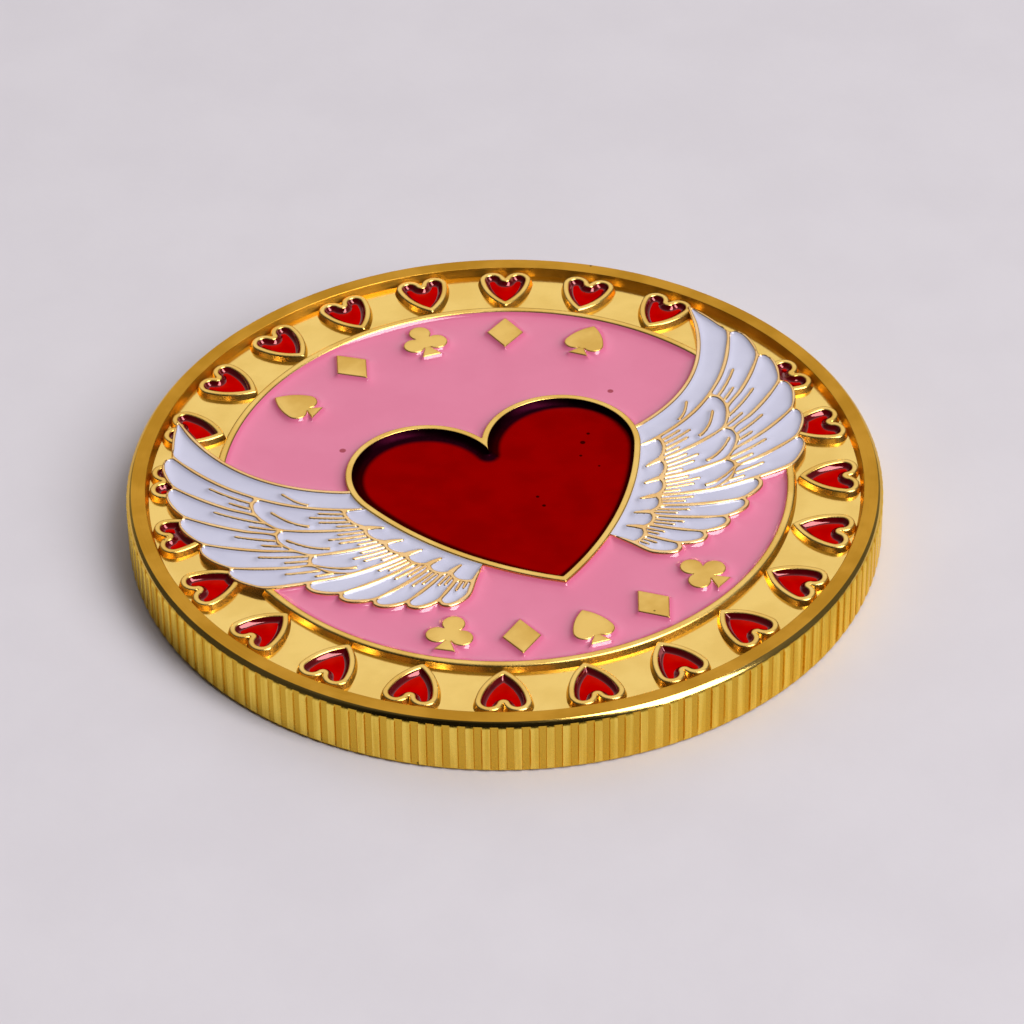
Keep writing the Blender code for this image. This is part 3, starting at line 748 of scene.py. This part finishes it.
class Graph:
    """Node tree under construction."""

    def __init__(self, tree, place):
        self.tree = tree
        self.place = self.node("TexCoord", {}, {})[place]

    def node(self, kind, settings, links):
        """Outputs of a new node with socket values and links by socket name or number."""
        node = self.tree.nodes.new("ShaderNode" + kind)
        for key, value in settings.items():
            if isinstance(key, str) and hasattr(node, key):
                setattr(node, key, value)
            else:
                node.inputs[key].default_value = value
        for key, source in links.items():
            self.tree.links.new(source, node.inputs[key])
        return node.outputs

    def vector(self, operation, source, value):
        """Outputs of vector arithmetic on an output and a fixed vector."""
        return self.node("VectorMath", {"operation": operation, 1: value}, {0: source})

    def times(self, first, second):
        """Product of two outputs."""
        return self.node("Math", {"operation": "MULTIPLY"}, {0: first, 1: second})[0]

    def ramp(self, source, low, high, start, stop):
        """Source between low and high mapped to start and stop."""
        return self.node("MapRange", {"interpolation_type": "SMOOTHSTEP", "From Min": low, "From Max": high,
                                      "To Min": start, "To Max": stop}, {"Value": source})["Result"]


class Finish(Graph):
    """Procedural material under construction."""

    def __init__(self, name):
        self.material = bpy.data.materials.new(name)
        self.material.use_nodes = True
        super().__init__(self.material.node_tree, "Object")
        self.shader = self.tree.nodes["Principled BSDF"]

    def put(self, name, value):
        """Set one socket of the shader, the same all over."""
        self.shader.inputs[name].default_value = value

    def join(self, source, name):
        """Lead an output to one socket of the shader."""
        self.tree.links.new(source, self.shader.inputs[name])

    def noise(self, size, detail, stretch=(1, 1, 1), where=None):
        """Noise with features of a size, stretched along the axes."""
        spread = self.vector("MULTIPLY", where or self.place, tuple(1 / (size * MM * s) for s in stretch))
        return self.node("TexNoise", {"Scale": 1.0, "Detail": detail}, {"Vector": spread[0]})["Fac"]

    def blend(self, share, first, second):
        """Colour between two colours or outputs."""
        node = self.tree.nodes.new("ShaderNodeMix")
        node.data_type = "RGBA"
        self.tree.links.new(share, node.inputs["Factor"])
        for socket, colour in ((node.inputs[6], first), (node.inputs[7], second)):
            if isinstance(colour, tuple):
                socket.default_value = colour + (1.0,)
            else:
                self.tree.links.new(colour, socket)
        return node.outputs[2]

    def bump(self, source, depth, strength=1.0):
        """Fine relief of a depth on the shader's normal."""
        last = self.shader.inputs["Normal"].links
        links = {"Height": source}
        if last:
            links["Normal"] = last[0].from_socket
        bumped = self.node("Bump", {"Strength": strength, "Distance": depth * MM}, links)
        self.join(bumped["Normal"], "Normal")

    def wave(self, size, detail, strength, depth):
        """Slow waves of a depth in the surface."""
        self.bump(self.noise(size, detail), depth, strength)

    def away(self, x, y):
        """Distance in plan from a place."""
        offset = self.vector("SUBTRACT", self.place, (x * MM, y * MM, 0.0))[0]
        flat = self.vector("MULTIPLY", offset, (1, 1, 0))[0]
        return self.node("VectorMath", {"operation": "LENGTH"}, {0: flat})["Value"]

    def polar(self):
        """Place on the coin as arc length, radius and height."""
        parts = self.node("SeparateXYZ", {}, {0: self.place})
        angle = self.node("Math", {"operation": "ARCTAN2"}, {0: parts[1], 1: parts[0]})[0]
        run = self.node("Math", {"operation": "MULTIPLY", 1: COIN_RADIUS * MM}, {0: angle})[0]
        return self.node("CombineXYZ", {}, {0: run, 1: self.away(0.0, 0.0), 2: parts[2]})[0]

    def spot(self, x, y, radius):
        """One round spot at a place, 1 inside it."""
        return self.ramp(self.away(x, y), SPOT_CORE * radius * MM, radius * MM, 1.0, 0.0)

    def specks(self, cell, size, share):
        """Small round specks in some cells of a pattern, 1 on a speck."""
        spread = self.vector("MULTIPLY", self.place, 3 * (1 / (cell * MM),))
        cells = self.node("TexVoronoi", {"Scale": 1.0}, {"Vector": spread[0]})
        pick = self.node("SeparateXYZ", {}, {0: cells["Color"]})[0]
        chosen = self.node("Math", {"operation": "LESS_THAN", 1: share}, {0: pick})[0]
        dot = self.ramp(cells["Distance"], SPECK_CORE * size / cell, size / cell, 1.0, 0.0)
        return self.times(dot, chosen)


def shade(colour, share):
    """Colour darkened to a share."""
    return tuple(share * value for value in colour)


def gold(name, light, dark, rough, grain, streak, groove=0.0):
    """Gold plate: drifting tone, fine grain or brushed streaks, dark pits, painted shade in grooves of a
    depth.
    """
    finish = Finish(name)
    finish.put("Metallic", 1.0)
    finish.put("Specular Tint", GOLD_EDGE)
    if groove:
        drift = finish.noise(*REED_TONE, REED_STRETCH, finish.polar())
    else:
        drift = finish.noise(*GOLD_TONE)
    tone = finish.blend(finish.ramp(drift, *CLOUD, 0.0, 1.0), light, dark)
    # Painted shade: the groove bottoms are darkened by their radius
    if groove:
        low, high = ((COIN_RADIUS - share * groove) * MM for share in GROOVE_SHADE_SHARES)
        groove_shade = tuple(value * share for value, share in zip(dark, GROOVE_SHADE))
        tone = finish.blend(finish.ramp(finish.away(0.0, 0.0), low, high, 1.0, 0.0), tone, groove_shade)
    finish.join(finish.blend(finish.specks(*GOLD_PITS), tone, shade(dark, PIT_SHADE)), "Base Color")
    where = finish.polar() if streak else None
    fine = finish.noise(*GOLD_GRAIN, (streak or 1, 1, 1), where)
    finish.join(finish.ramp(fine, *GRAIN, *rough), "Roughness")
    finish.bump(fine, grain)
    finish.wave(*GOLD_WAVE, GOLD_WAVE_SHARE * grain)
    return finish.material


def enamel(name, light, dark, rough, wave, flecks):
    """Opaque enamel: even colour that drifts a little under a glossy, slightly wavy surface."""
    finish = Finish(name)
    tone = finish.blend(finish.ramp(finish.noise(*ENAMEL_TONE), *CLOUD, 0.0, 1.0), light, dark)
    tone = finish.blend(finish.specks(*ENAMEL_DUST), tone, shade(dark, DUST_SHADE))
    for x, y, radius in flecks:
        tone = finish.blend(finish.spot(x, y, radius), tone, FLECK_RED)
    finish.join(tone, "Base Color")
    finish.put("Specular IOR Level", ENAMEL_GLOSS)
    finish.join(finish.ramp(finish.noise(*ENAMEL_GRAIN), *GRAIN, *rough), "Roughness")
    finish.wave(*ENAMEL_WAVE, wave)
    return finish.material


def candy(name, light, dark, rough, blotch, metal, coat, painted_shade_fade=None, flaws=()):
    """Clear red enamel that shows the metal below it as a deep mirror, with painted shade darkening it
    towards its edge.
    """
    finish = Finish(name)
    finish.put("Metallic", metal)
    finish.put("Specular Tint", RED_EDGE)
    finish.put("Coat Weight", coat)
    finish.put("Coat Roughness", COAT_ROUGH)
    stain = shade(dark, DOT_SHADE)
    tone = finish.blend(finish.ramp(finish.noise(blotch, BLOTCH_DETAIL), *GRAIN, 0.0, 1.0), light, dark)
    tone = finish.blend(finish.specks(*RED_DOTS), tone, stain)
    for x, y, radius in flaws:
        tone = finish.blend(finish.spot(x, y, radius), tone, stain)
    # Painted shade: the colour darkens towards the pool's edge by the depth attribute
    if painted_shade_fade:
        depth = finish.node("Attribute", {"attribute_name": "depth"}, {})["Fac"]
        tone = finish.blend(finish.ramp(depth, *painted_shade_fade, 0.0, 1.0), PAINTED_SHADE_RED, tone)
    finish.join(tone, "Base Color")
    finish.join(finish.ramp(finish.noise(*RED_GRAIN), *GRAIN, *rough), "Roughness")
    finish.wave(*RED_WAVE, RED_WAVE_DEPTH)
    return finish.material


# Near-black red of painted shade, at the large heart's edge and on its wall
PAINTED_SHADE_RED = (0.014, 0.0008, 0.004)
GOLD_EDGE = (1.0, 0.84, 0.52, 1.0)
RED_EDGE = (1.0, 0.02, 0.02, 1.0)
COAT_ROUGH = 0.06
# Painted shade in the reeds' grooves: share of the dark tone kept in each channel
GROOVE_SHADE = (0.88, 0.82, 0.70)
# Stray red flecks on the pink: place and radius
FLECK_RED = (0.32, 0.0, 0.03)
FLECKS = ((-8.96, 7.01, 0.26), (10.11, 6.85, 0.24))
# Dark flaws in the large heart: place and radius
FLAWS = ((6.39, 2.29, 0.21), (7.07, 3.07, 0.14), (1.62, -3.16, 0.15), (1.55, -2.13, 0.14),
         (5.76, 0.99, 0.12), (6.52, -0.48, 0.10))
GOLD_FIELD = gold("gold_field", (0.86, 0.60, 0.18), (0.80, 0.54, 0.15), (0.10, 0.18), 0.001, 0)
GOLD_RIM = gold("gold_rim", (0.58, 0.295, 0.034), (0.48, 0.235, 0.022), (0.30, 0.48), 0.004, 40)
GOLD_POLISH = gold("gold_polish", (0.84, 0.56, 0.15), (0.78, 0.50, 0.12), (0.08, 0.16), 0.001, 60)
GOLD_REED = gold("gold_reed", (1.0, 0.72, 0.13), (0.82, 0.54, 0.07), (0.16, 0.30), 0.002, 0, REED_DEPTH)
GOLD_WING = gold("gold_wing", (0.91, 0.61, 0.29), (0.82, 0.50, 0.20), (0.20, 0.32), 0.002, 0)
GOLD_LINE = gold("gold_line", (0.86, 0.58, 0.17), (0.76, 0.47, 0.11), (0.22, 0.34), 0.002, 0)
GOLD_MARK = gold("gold_mark", (0.84, 0.56, 0.16), (0.70, 0.43, 0.10), (0.28, 0.44), 0.005, 0)
PINK = enamel("pink_gloss", (0.68, 0.158, 0.282), (0.66, 0.147, 0.268), (0.08, 0.14), 0.006, FLECKS)
WHITE = enamel("white_gloss", (0.53, 0.52, 0.65), (0.49, 0.48, 0.61), (0.10, 0.16), 0.004, ())
# Wall colours: painted shade, dark copies of the reds laid on each pool's faces near its wall; the border
# wall's clear coat is real gloss
HEART_SHADE_WALL = candy("deep_red_painted_shade_wall", PAINTED_SHADE_RED, (0.009, 0.0005, 0.003), (0.30, 0.40), 2.4, 1.0, 0.0)
BORDER_SHADE_WALL = candy("bright_red_painted_shade_wall", (0.15, 0.0010, 0.004), (0.10, 0.0006, 0.003), (0.10, 0.16), 0.9,
                    0.4, 1.0)
# The large heart's floor red, with painted shade over the given span of depth from its edge
HEART_RED = candy("deep_red", (0.285, 0.0012, 0.0012), (0.24, 0.0008, 0.0008), (0.18, 0.28), 2.4, 1.0, 0.0,
                  (0.50, 0.82), FLAWS)
BORDER_RED = candy("bright_red", (0.54, 0.006, 0.003), (0.44, 0.004, 0.002), (0.10, 0.16), 0.9, 1.0, 0.0)


# Coin blank: its finishes by number

FIELD, RIM, POLISH, REED = range(4)


def reed_columns():
    """Angle and groove depth of each column of points round the edge, uneven as from a worn die."""
    draw = np.random.default_rng(REED_SEED)
    pitch = 2 * pi / REED_COUNT
    columns = []
    for i in range(REED_COUNT):
        shift = REED_SHIFT * (draw.random() - 0.5)
        deep = REED_DEPTH * (1 - REED_WEAR + REED_WEAR * draw.random())
        for share, depth in zip(REED_SHARES, (0.0, 0.0, deep, deep)):
            columns.append(((i + share + shift) * pitch, depth))
    return np.array(columns)


def blank_rows():
    """Radius, height, whether reeds cut it and finish of each ring of points, face to reverse."""
    top = COIN_THICKNESS
    start = top - SHOULDER_RADIUS * sin(SHOULDER_START)
    middle = RING_RADIUS - RING_WIDTH / 2
    rows = [(middle, FIELD_Z - CENTRE_SINK, 0, FIELD), (middle, FIELD_Z, 0, FIELD)]
    rows.append((FIELD_RADIUS - RIM_DRAFT, FIELD_Z, 0, FIELD))
    for step in range(RIM_INNER_STEPS + 1):
        angle = pi - step * pi / 2 / RIM_INNER_STEPS
        rows.append((FIELD_RADIUS + RIM_INNER_ROUND * (1 + cos(angle)),
                     top - RIM_INNER_ROUND * (1 - sin(angle)), 0, RIM))
    for step in range(SHOULDER_STEPS + 1):
        angle = SHOULDER_START * (1 - step / SHOULDER_STEPS)
        reeded = angle < REED_STOP
        zone = REED if reeded else POLISH if step else RIM
        rows.append((COIN_RADIUS - SHOULDER_RADIUS * (1 - cos(angle)),
                     start + SHOULDER_RADIUS * sin(angle), reeded, zone))
    for step in range(HEEL_STEPS + 1):
        angle = pi / 2 * step / HEEL_STEPS
        rows.append((COIN_RADIUS - HEEL_RADIUS * (1 - cos(angle)),
                     HEEL_RADIUS * (1 - sin(angle)), 1, REED))
    rows.append((FIELD_RADIUS + RIM_INNER_ROUND, 0.0, 0, RIM))
    rows.append((FIELD_RADIUS, RIM_INNER_ROUND, 0, POLISH))
    rows.append((FIELD_RADIUS, REVERSE_RECESS, 0, FIELD))
    return rows


def make_blank():
    """Rims, shoulders, reeded edge and both fields of the coin."""
    columns = reed_columns()
    rows = blank_rows()
    count = len(columns)
    vertices = []
    for radius, height, reeded, _ in rows:
        ring = np.minimum(radius, COIN_RADIUS - reeded * columns[:, 1])
        vertices.append(np.column_stack([ring * np.cos(columns[:, 0]), ring * np.sin(columns[:, 0]),
                                         np.full(count, height)]))
    vertices.append([[0.0, 0.0, FIELD_Z - CENTRE_SINK], [0.0, 0.0, REVERSE_RECESS]])
    faces = []
    zones = []
    here = np.arange(count)
    after = (here + 1) % count
    for i in range(len(rows) - 1):
        a, b = i * count, (i + 1) * count
        faces += np.stack([a + here, b + here, b + after, a + after], 1).tolist()
        zones += [rows[i + 1][3]] * count
    last = (len(rows) - 1) * count
    centre = len(rows) * count
    faces += [[centre, i, j] for i, j in zip(here.tolist(), after.tolist())]
    faces += [[centre + 1, last + j, last + i] for i, j in zip(here.tolist(), after.tolist())]
    zones += [FIELD] * (2 * count)
    piece = new_piece("coin_blank", np.concatenate(vertices), faces, GOLD_FIELD, "coin_body", "gold_plate")
    piece.data.set_sharp_from_angle(angle=REED_SHARP_ANGLE)
    for material in (GOLD_RIM, GOLD_POLISH, GOLD_REED):
        piece.data.materials.append(material)
    piece.data.polygons.foreach_set("material_index", zones)


# Struck reliefs

TOUCH = 0.015
BURIED_INSET = 0.13
# Roundings: width and drop
ROUND_SHARES = (0.05, 0.2, 0.5, 1.0)
MARK_ROUND = (0.09, 0.09)
LINE_ROUND = (0.12, 0.10)
FRAME_ROUND = (0.17, 0.12)
HEART_FRAME_ROUND = (0.12, 0.07)
RING_ROUND = (0.22, 0.16)
BARB_ROUND = (0.10, 0.10)
MARK_GRID = 0.5
# Barb lines: share across the feather, start and stop along it, bend
COVERT_BARBS = ((0.20, 0.0, 0.30, 0.0), (0.40, 0.0, 0.42, 0.0), (0.60, 0.0, 0.36, 0.0),
                (0.80, 0.0, 0.24, 0.0), (0.78, 0.56, 0.92, -0.40))
PRIMARY_BARBS = ((0.36, 0.0, 0.46, 0.0), (0.68, 0.0, 0.24, 0.0))
FAN_BARBS = ((0.36, 0.0, 0.36, 0.0), (0.64, 0.0, 0.28, 0.0))
LEADING_BARBS = ((0.80, 0.32, 0.41, -0.42),)
ROOT_CUSPS = ((0.0, 1.02, 0.68, 0.14),)
# Share of their full length that the barbs of one feather after another have
BARB_LENGTHS = (0.88, 1.0, 1.12, 0.94, 1.06)
BARB_POINTS = 7
BARB_HALF = 0.14
BARB_END = 0.11
CUSP_HALF = 0.27
BARB_DROP = 0.01
# Pools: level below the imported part's pool, rise and reach of the climb, rows of points and their grid
PINK_SINK = 0.23
PINK_CLIMB = (0.34, 0.30)
PINK_ROWS = (0.04, 0.09, 0.16, 0.26, 0.42, 0.65, 0.95)
PINK_GRID = 0.8
WHITE_SINK = 0.16
WHITE_CLIMB = (0.20, 0.19)
WHITE_ROWS = (0.035, 0.08, 0.14, 0.22)
WHITE_GRID = 0.16
# Bowls: edge below the frame's top, reach, and width of the wall that takes the painted shade colour
HEART_LIP = 0.03
BORDER_LIP = 0.06
HEART_BOWL = (0.33, 0.45)
BORDER_BOWL = (0.17, 0.30)
BOWL_ROWS = (0.02, 0.05, 0.09, 0.14, 0.20)
HEART_ROWS = BOWL_ROWS + (0.28, 0.36, HEART_BOWL[1])
BORDER_ROWS = BOWL_ROWS + (0.26, BORDER_BOWL[1], 0.42)
HEART_GRID = 0.25
BORDER_GRID = 0.4
HEART_SINK = -0.05
# The large heart's painted shade at its edge: how it narrows per millimetre of X and Y, and its least and
# greatest share; it is widest on the left and at the top and narrows towards the right and the point
HEART_LEAN = (-0.0994, 0.0348)
HEART_EDGE = (0.25, 1.2)
BORDER_SINK = 0.055
HEARTS = [int(name[-2:]) - 1 for name in sorted(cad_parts) if name.startswith("border_enamel")]
POOLS = feather_pools()
WING = rounded(smooth(grown(wing_outline(), FEATHER_LINE / 2)), POOL_ROUND)
WINGS = [WING, mirror(WING)]
MARKS = pips()


def barbs():
    """Outlines of the barb lines on the right wing's feathers, some hooked at the end."""
    lines = []
    for row, inner, cells, specs, half in (
            (COVERT_ROW, ROOT_ROW, range(COVERT_COUNT), COVERT_BARBS, BARB_HALF),
            (PRIMARY_ROW, COVERT_ROW, range(1, PRIMARY_COUNT), PRIMARY_BARBS, BARB_HALF),
            (FAN_ROW, ROOT_ROW, range(FAN_COUNT), FAN_BARBS, BARB_HALF),
            (PRIMARY_ROW, None, range(1), LEADING_BARBS, BARB_HALF),
            (ROOT_ROW, None, range(1, ROOT_SCALLOPS), ROOT_CUSPS, CUSP_HALF)):
        for index in cells:
            low, wide = row.parts[index], row.parts[index + 1] - row.parts[index]
            for share, start, stop, bend in specs:
                base = inner.along(low + wide * share) if inner else 0.0
                span = row.along(low + wide * share) - base
                if inner:
                    span *= BARB_LENGTHS[index % len(BARB_LENGTHS)]
                line = []
                for t in np.linspace(0, 1, BARB_POINTS):
                    across = low + wide * (share + bend * t * t)
                    line.append(wing_point(across, base + span * (start + (stop - start) * t)))
                lines.append(ribbon(np.array(line), half, BARB_END))
    return lines


def ribbon(line, half, end):
    """Outline of a line that narrows from one half width to another, round at its end."""
    run = np.gradient(line, axis=0)
    run /= lengths(run)
    side = np.stack([-run[:, 1], run[:, 0]], 1)
    wide = np.linspace(half, end, len(line))[:, None]
    left, right = line + side * wide, line - side * wide
    tip = line[-1] + run[-1] * end
    return smooth(np.concatenate([right, [tip], left[::-1]]))


BARBS = barbs()


def new_relief(name, body, material):
    """Piece of the coin's own metal."""
    new_piece(name, *body, material, "coin_body", "gold_plate")


def make_reliefs():
    """Ring, border heart frames, large heart frame, card-suit marks, wings and their barb lines."""
    buried = [grown(wing, -BURIED_INSET) for wing in WINGS]
    ring = struck([circle(RING_RADIUS)], [circle(POOL_RADIUS)] + buried, RING_HEIGHT, RING_ROUND, FRAME_DRAFT)
    new_relief("ring_ridge", ring, GOLD_LINE)
    outer = [border_heart(i, BORDER_HEART.outline(0.0)) for i in HEARTS]
    inner = [border_heart(i, BORDER_HEART.knobbed(BORDER_HEART_FRAME)) for i in HEARTS]
    frames = struck(outer, inner + buried, BORDER_HEART_HEIGHT, FRAME_ROUND, FRAME_DRAFT)
    new_relief("border_frames", frames, GOLD_LINE)
    heart = struck([large_heart(HEART_FRAME)], [large_heart(0.0)], HEART_FRAME_HEIGHT, HEART_FRAME_ROUND)
    new_relief("heart_frame", heart, GOLD_LINE)
    marks = struck(MARKS, [], PIP_HEIGHT, MARK_ROUND, spacing=MARK_GRID)
    new_relief("suit_marks", marks, GOLD_MARK)
    cells = [pool for name, pool in POOLS] + [large_heart(HEART_FRAME / 2)]
    wing = struck([WING], cells, WING_HEIGHT, LINE_ROUND)
    lines = struck(BARBS, [], WING_HEIGHT - BARB_DROP, BARB_ROUND)
    for name, body in (("wing", wing), ("barbs", lines)):
        new_relief(f"{name}_right", body, GOLD_WING)
        new_relief(f"{name}_left", flipped(*body), GOLD_WING)


# Enamel pools

def make_pools():
    """Every pool of enamel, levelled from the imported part's pool."""
    def level(node):
        low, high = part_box(node)
        return low.z / MM, high.z / MM

    keep_out = [grown(wing, -TOUCH) for wing in WINGS] + [large_heart(HEART_FRAME - TOUCH)]
    keep_out += [grown(mark, -TOUCH) for mark in MARKS]
    for node, start in (("pink_enamel_upper", 0.0), ("pink_enamel_lower", pi)):
        half = straight(arc(0.0, 0.0, POOL_RADIUS + TOUCH, start, start + pi))
        low, high = level(node)
        pool = Patch([half], keep_out, PINK_ROWS, PINK_GRID)
        body = poured(pool, high - PINK_SINK, PINK_CLIMB, low, [])
        new_piece(f"{node}_pool", *body, PINK, node, "pink_enamel")
    for name, outline in POOLS:
        cut = [large_heart(HEART_FRAME - TOUCH)] if name in ("root", "leading") else []
        pool = Patch([grown(outline, TOUCH)], cut, WHITE_ROWS, WHITE_GRID)
        low, high = level(f"white_enamel_right_{name}")
        body = poured(pool, high - WHITE_SINK, WHITE_CLIMB, low, BARBS)
        for side, shape in (("right", body), ("left", flipped(*body))):
            node = f"white_enamel_{side}_{name}"
            new_piece(f"{node}_pool", *shape, WHITE, node, "white_enamel")
    low, high = level("heart_enamel")
    pool = Patch([large_heart(TOUCH)], [], HEART_ROWS, HEART_GRID)
    lip = FIELD_Z + HEART_FRAME_HEIGHT - HEART_LIP
    # Width of the painted shade at each point of the large heart
    edge = np.clip(HEART_EDGE[1] + pool.points @ HEART_LEAN, *HEART_EDGE)
    body = bowl(pool, high - HEART_SINK, lip, low, HEART_BOWL, edge)
    make_bowl("heart_enamel", body, HEART_RED, HEART_SHADE_WALL)
    inner = BORDER_HEART.knobbed(BORDER_HEART_FRAME - TOUCH)
    lip = FIELD_Z + BORDER_HEART_HEIGHT - BORDER_LIP
    for i in HEARTS:
        node = f"border_enamel_{i + 1:02d}"
        low, high = level(node)
        pool = Patch([border_heart(i, inner)], [grown(wing, -TOUCH) for wing in WINGS],
                     BORDER_ROWS, BORDER_GRID)
        make_bowl(node, bowl(pool, high - BORDER_SINK, lip, low, BORDER_BOWL), BORDER_RED, BORDER_SHADE_WALL)


def bowl(patch, level, lip, base, shape, edge=1.0):
    """Body of a pool that coats its recess up to a lip, its faces on the wall, which take a painted shade
    colour, and depths from its edge.
    """
    reach, wall = shape
    vertices, faces = patch.solid(level + (lip - level) * np.exp(-patch.depth / reach), base, 0.0)
    depth = np.zeros(len(vertices))
    depth[:len(patch.depth)] = patch.depth / edge
    return vertices, faces, depth[patch.triangles].mean(1) < wall, depth


def make_bowl(node, body, floor, wall):
    """Pool of clear red, of one colour on its floor and a darker colour of painted shade on its wall."""
    vertices, faces, painted_shade_faces, depth = body
    piece = new_piece(f"{node}_pool", vertices, faces, floor, node, node.rstrip("_0123456789"))
    piece.data.attributes.new("depth", "FLOAT", "POINT").data.foreach_set("value", depth)
    piece.data.materials.append(wall)
    for i in np.flatnonzero(painted_shade_faces):
        piece.data.polygons[i].material_index = 1


# Studio: places and sizes in metres

CAMERA_AZIMUTH = radians(-19.3)
CAMERA_ELEVATION = radians(38.07)
CAMERA_DISTANCE = 0.300
CAMERA_LENS = 159.6
CAMERA_SHIFT = (0.0074, -0.0354)
CAMERA_ROLL = radians(-0.89)
SENSOR_WIDTH = 36.0
CLIP_START = 0.01
KEY_DIRECTION = (-35, 46)
KEY_DISTANCE = 1.6
KEY_SIZE = (0.74, 1.50)
KEY_LEVEL = 1.17
FLOOR_SIZE = 1.5
FLOOR_GAP = 0.00001
FLOOR_LIGHT = (0.645, 0.607, 0.645)
FLOOR_DARK = (0.625, 0.587, 0.625)
FLOOR_ROUGH = 0.9
FLOOR_GLOSS = 0.2
WORLD_COLOUR = (1.0, 0.985, 0.99, 1.0)
# Direction of each part of the studio, cosines where it starts and is full, level outside and inside it
WORLD_PARTS = (
    (90, 49, 0.60, 0.93, 0.25, 1.00),
    (-95, 25, 0.45, 0.90, 1.00, 0.03),
    (8, 12, 0.60, 0.96, 1.00, 0.45),
    (180, 20, 0.50, 0.95, 1.00, 0.25),
)
AIM = Vector((0.0, 0.0, COIN_THICKNESS * MM))
RIGHT = Vector((cos(CAMERA_AZIMUTH), sin(CAMERA_AZIMUTH), 0.0))
BACK = Vector((-sin(CAMERA_AZIMUTH), cos(CAMERA_AZIMUTH), 0.0))
UP = Vector((0.0, 0.0, 1.0))


def toward(azimuth, elevation):
    """Direction in the picture's own turn: azimuth 0 to the right, 90 to the back."""
    azimuth, elevation = radians(azimuth), radians(elevation)
    flat = RIGHT * cos(azimuth) + BACK * sin(azimuth)
    return flat * cos(elevation) + UP * sin(elevation)


def facing(spot, target, roll):
    """Transform at a spot with -Z to the target."""
    turn = (target - spot).to_track_quat("-Z", "Y").to_matrix()
    return Matrix.Translation(spot) @ (turn @ Matrix.Rotation(roll, 3, "Z")).to_4x4()


def make_camera():
    """Camera at the photograph's angle."""
    data = bpy.data.cameras.new("camera")
    data.lens = CAMERA_LENS
    data.sensor_width = SENSOR_WIDTH
    data.shift_x, data.shift_y = CAMERA_SHIFT
    data.clip_start = CLIP_START
    camera = add_object("camera", data)
    spot = AIM + CAMERA_DISTANCE * toward(-90, degrees(CAMERA_ELEVATION))
    camera.matrix_world = facing(spot, AIM, CAMERA_ROLL)
    bpy.context.scene.camera = camera


def make_key():
    """Tall soft lamp that gives a white surface facing it a set share of full brightness."""
    data = bpy.data.lights.new("key", "AREA")
    data.shape = "RECTANGLE"
    data.size, data.size_y = KEY_SIZE
    data.energy = KEY_LEVEL * pi * pi * KEY_DISTANCE**2
    lamp = add_object("key", data)
    lamp.matrix_world = facing(AIM + KEY_DISTANCE * toward(*KEY_DIRECTION), AIM, 0.0)


def make_world():
    """Pale studio, brightest at the back, with dark parts behind the camera and on both sides."""
    world = bpy.data.worlds.new("studio")
    bpy.context.scene.world = world
    world.use_nodes = True
    graph = Graph(world.node_tree, "Generated")
    background = graph.tree.nodes["Background"]
    background.inputs["Color"].default_value = WORLD_COLOUR
    level = None
    for azimuth, elevation, start, stop, first, last in WORLD_PARTS:
        dot = graph.vector("DOT_PRODUCT", graph.place, toward(azimuth, elevation))["Value"]
        part = graph.ramp(dot, start, stop, first, last)
        level = part if level is None else graph.times(level, part)
    graph.tree.links.new(level, background.inputs["Strength"])


def make_floor():
    """Pale floor under the coin."""
    finish = Finish("pale_floor")
    cloud = finish.ramp(finish.noise(*FLOOR_TONE), *GRAIN, 0.0, 1.0)
    finish.join(finish.blend(cloud, FLOOR_LIGHT, FLOOR_DARK), "Base Color")
    finish.put("Roughness", FLOOR_ROUGH)
    finish.put("Specular IOR Level", FLOOR_GLOSS)
    finish.wave(*FLOOR_WAVE, FLOOR_WAVE_DEPTH)
    size = FLOOR_SIZE
    data = bpy.data.meshes.new("floor")
    corners = [(-size, -size, 0), (size, -size, 0), (size, size, 0), (-size, size, 0)]
    data.from_pydata(corners, [], [(0, 1, 2, 3)])
    data.materials.append(finish.material)
    floor = add_object("floor", data)
    floor.location.z = CAD_LOW.z - FLOOR_GAP


make_blank()
make_reliefs()
make_pools()
make_camera()
make_world()
make_floor()
make_key()
bpy.context.scene.view_settings.view_transform = "Standard"
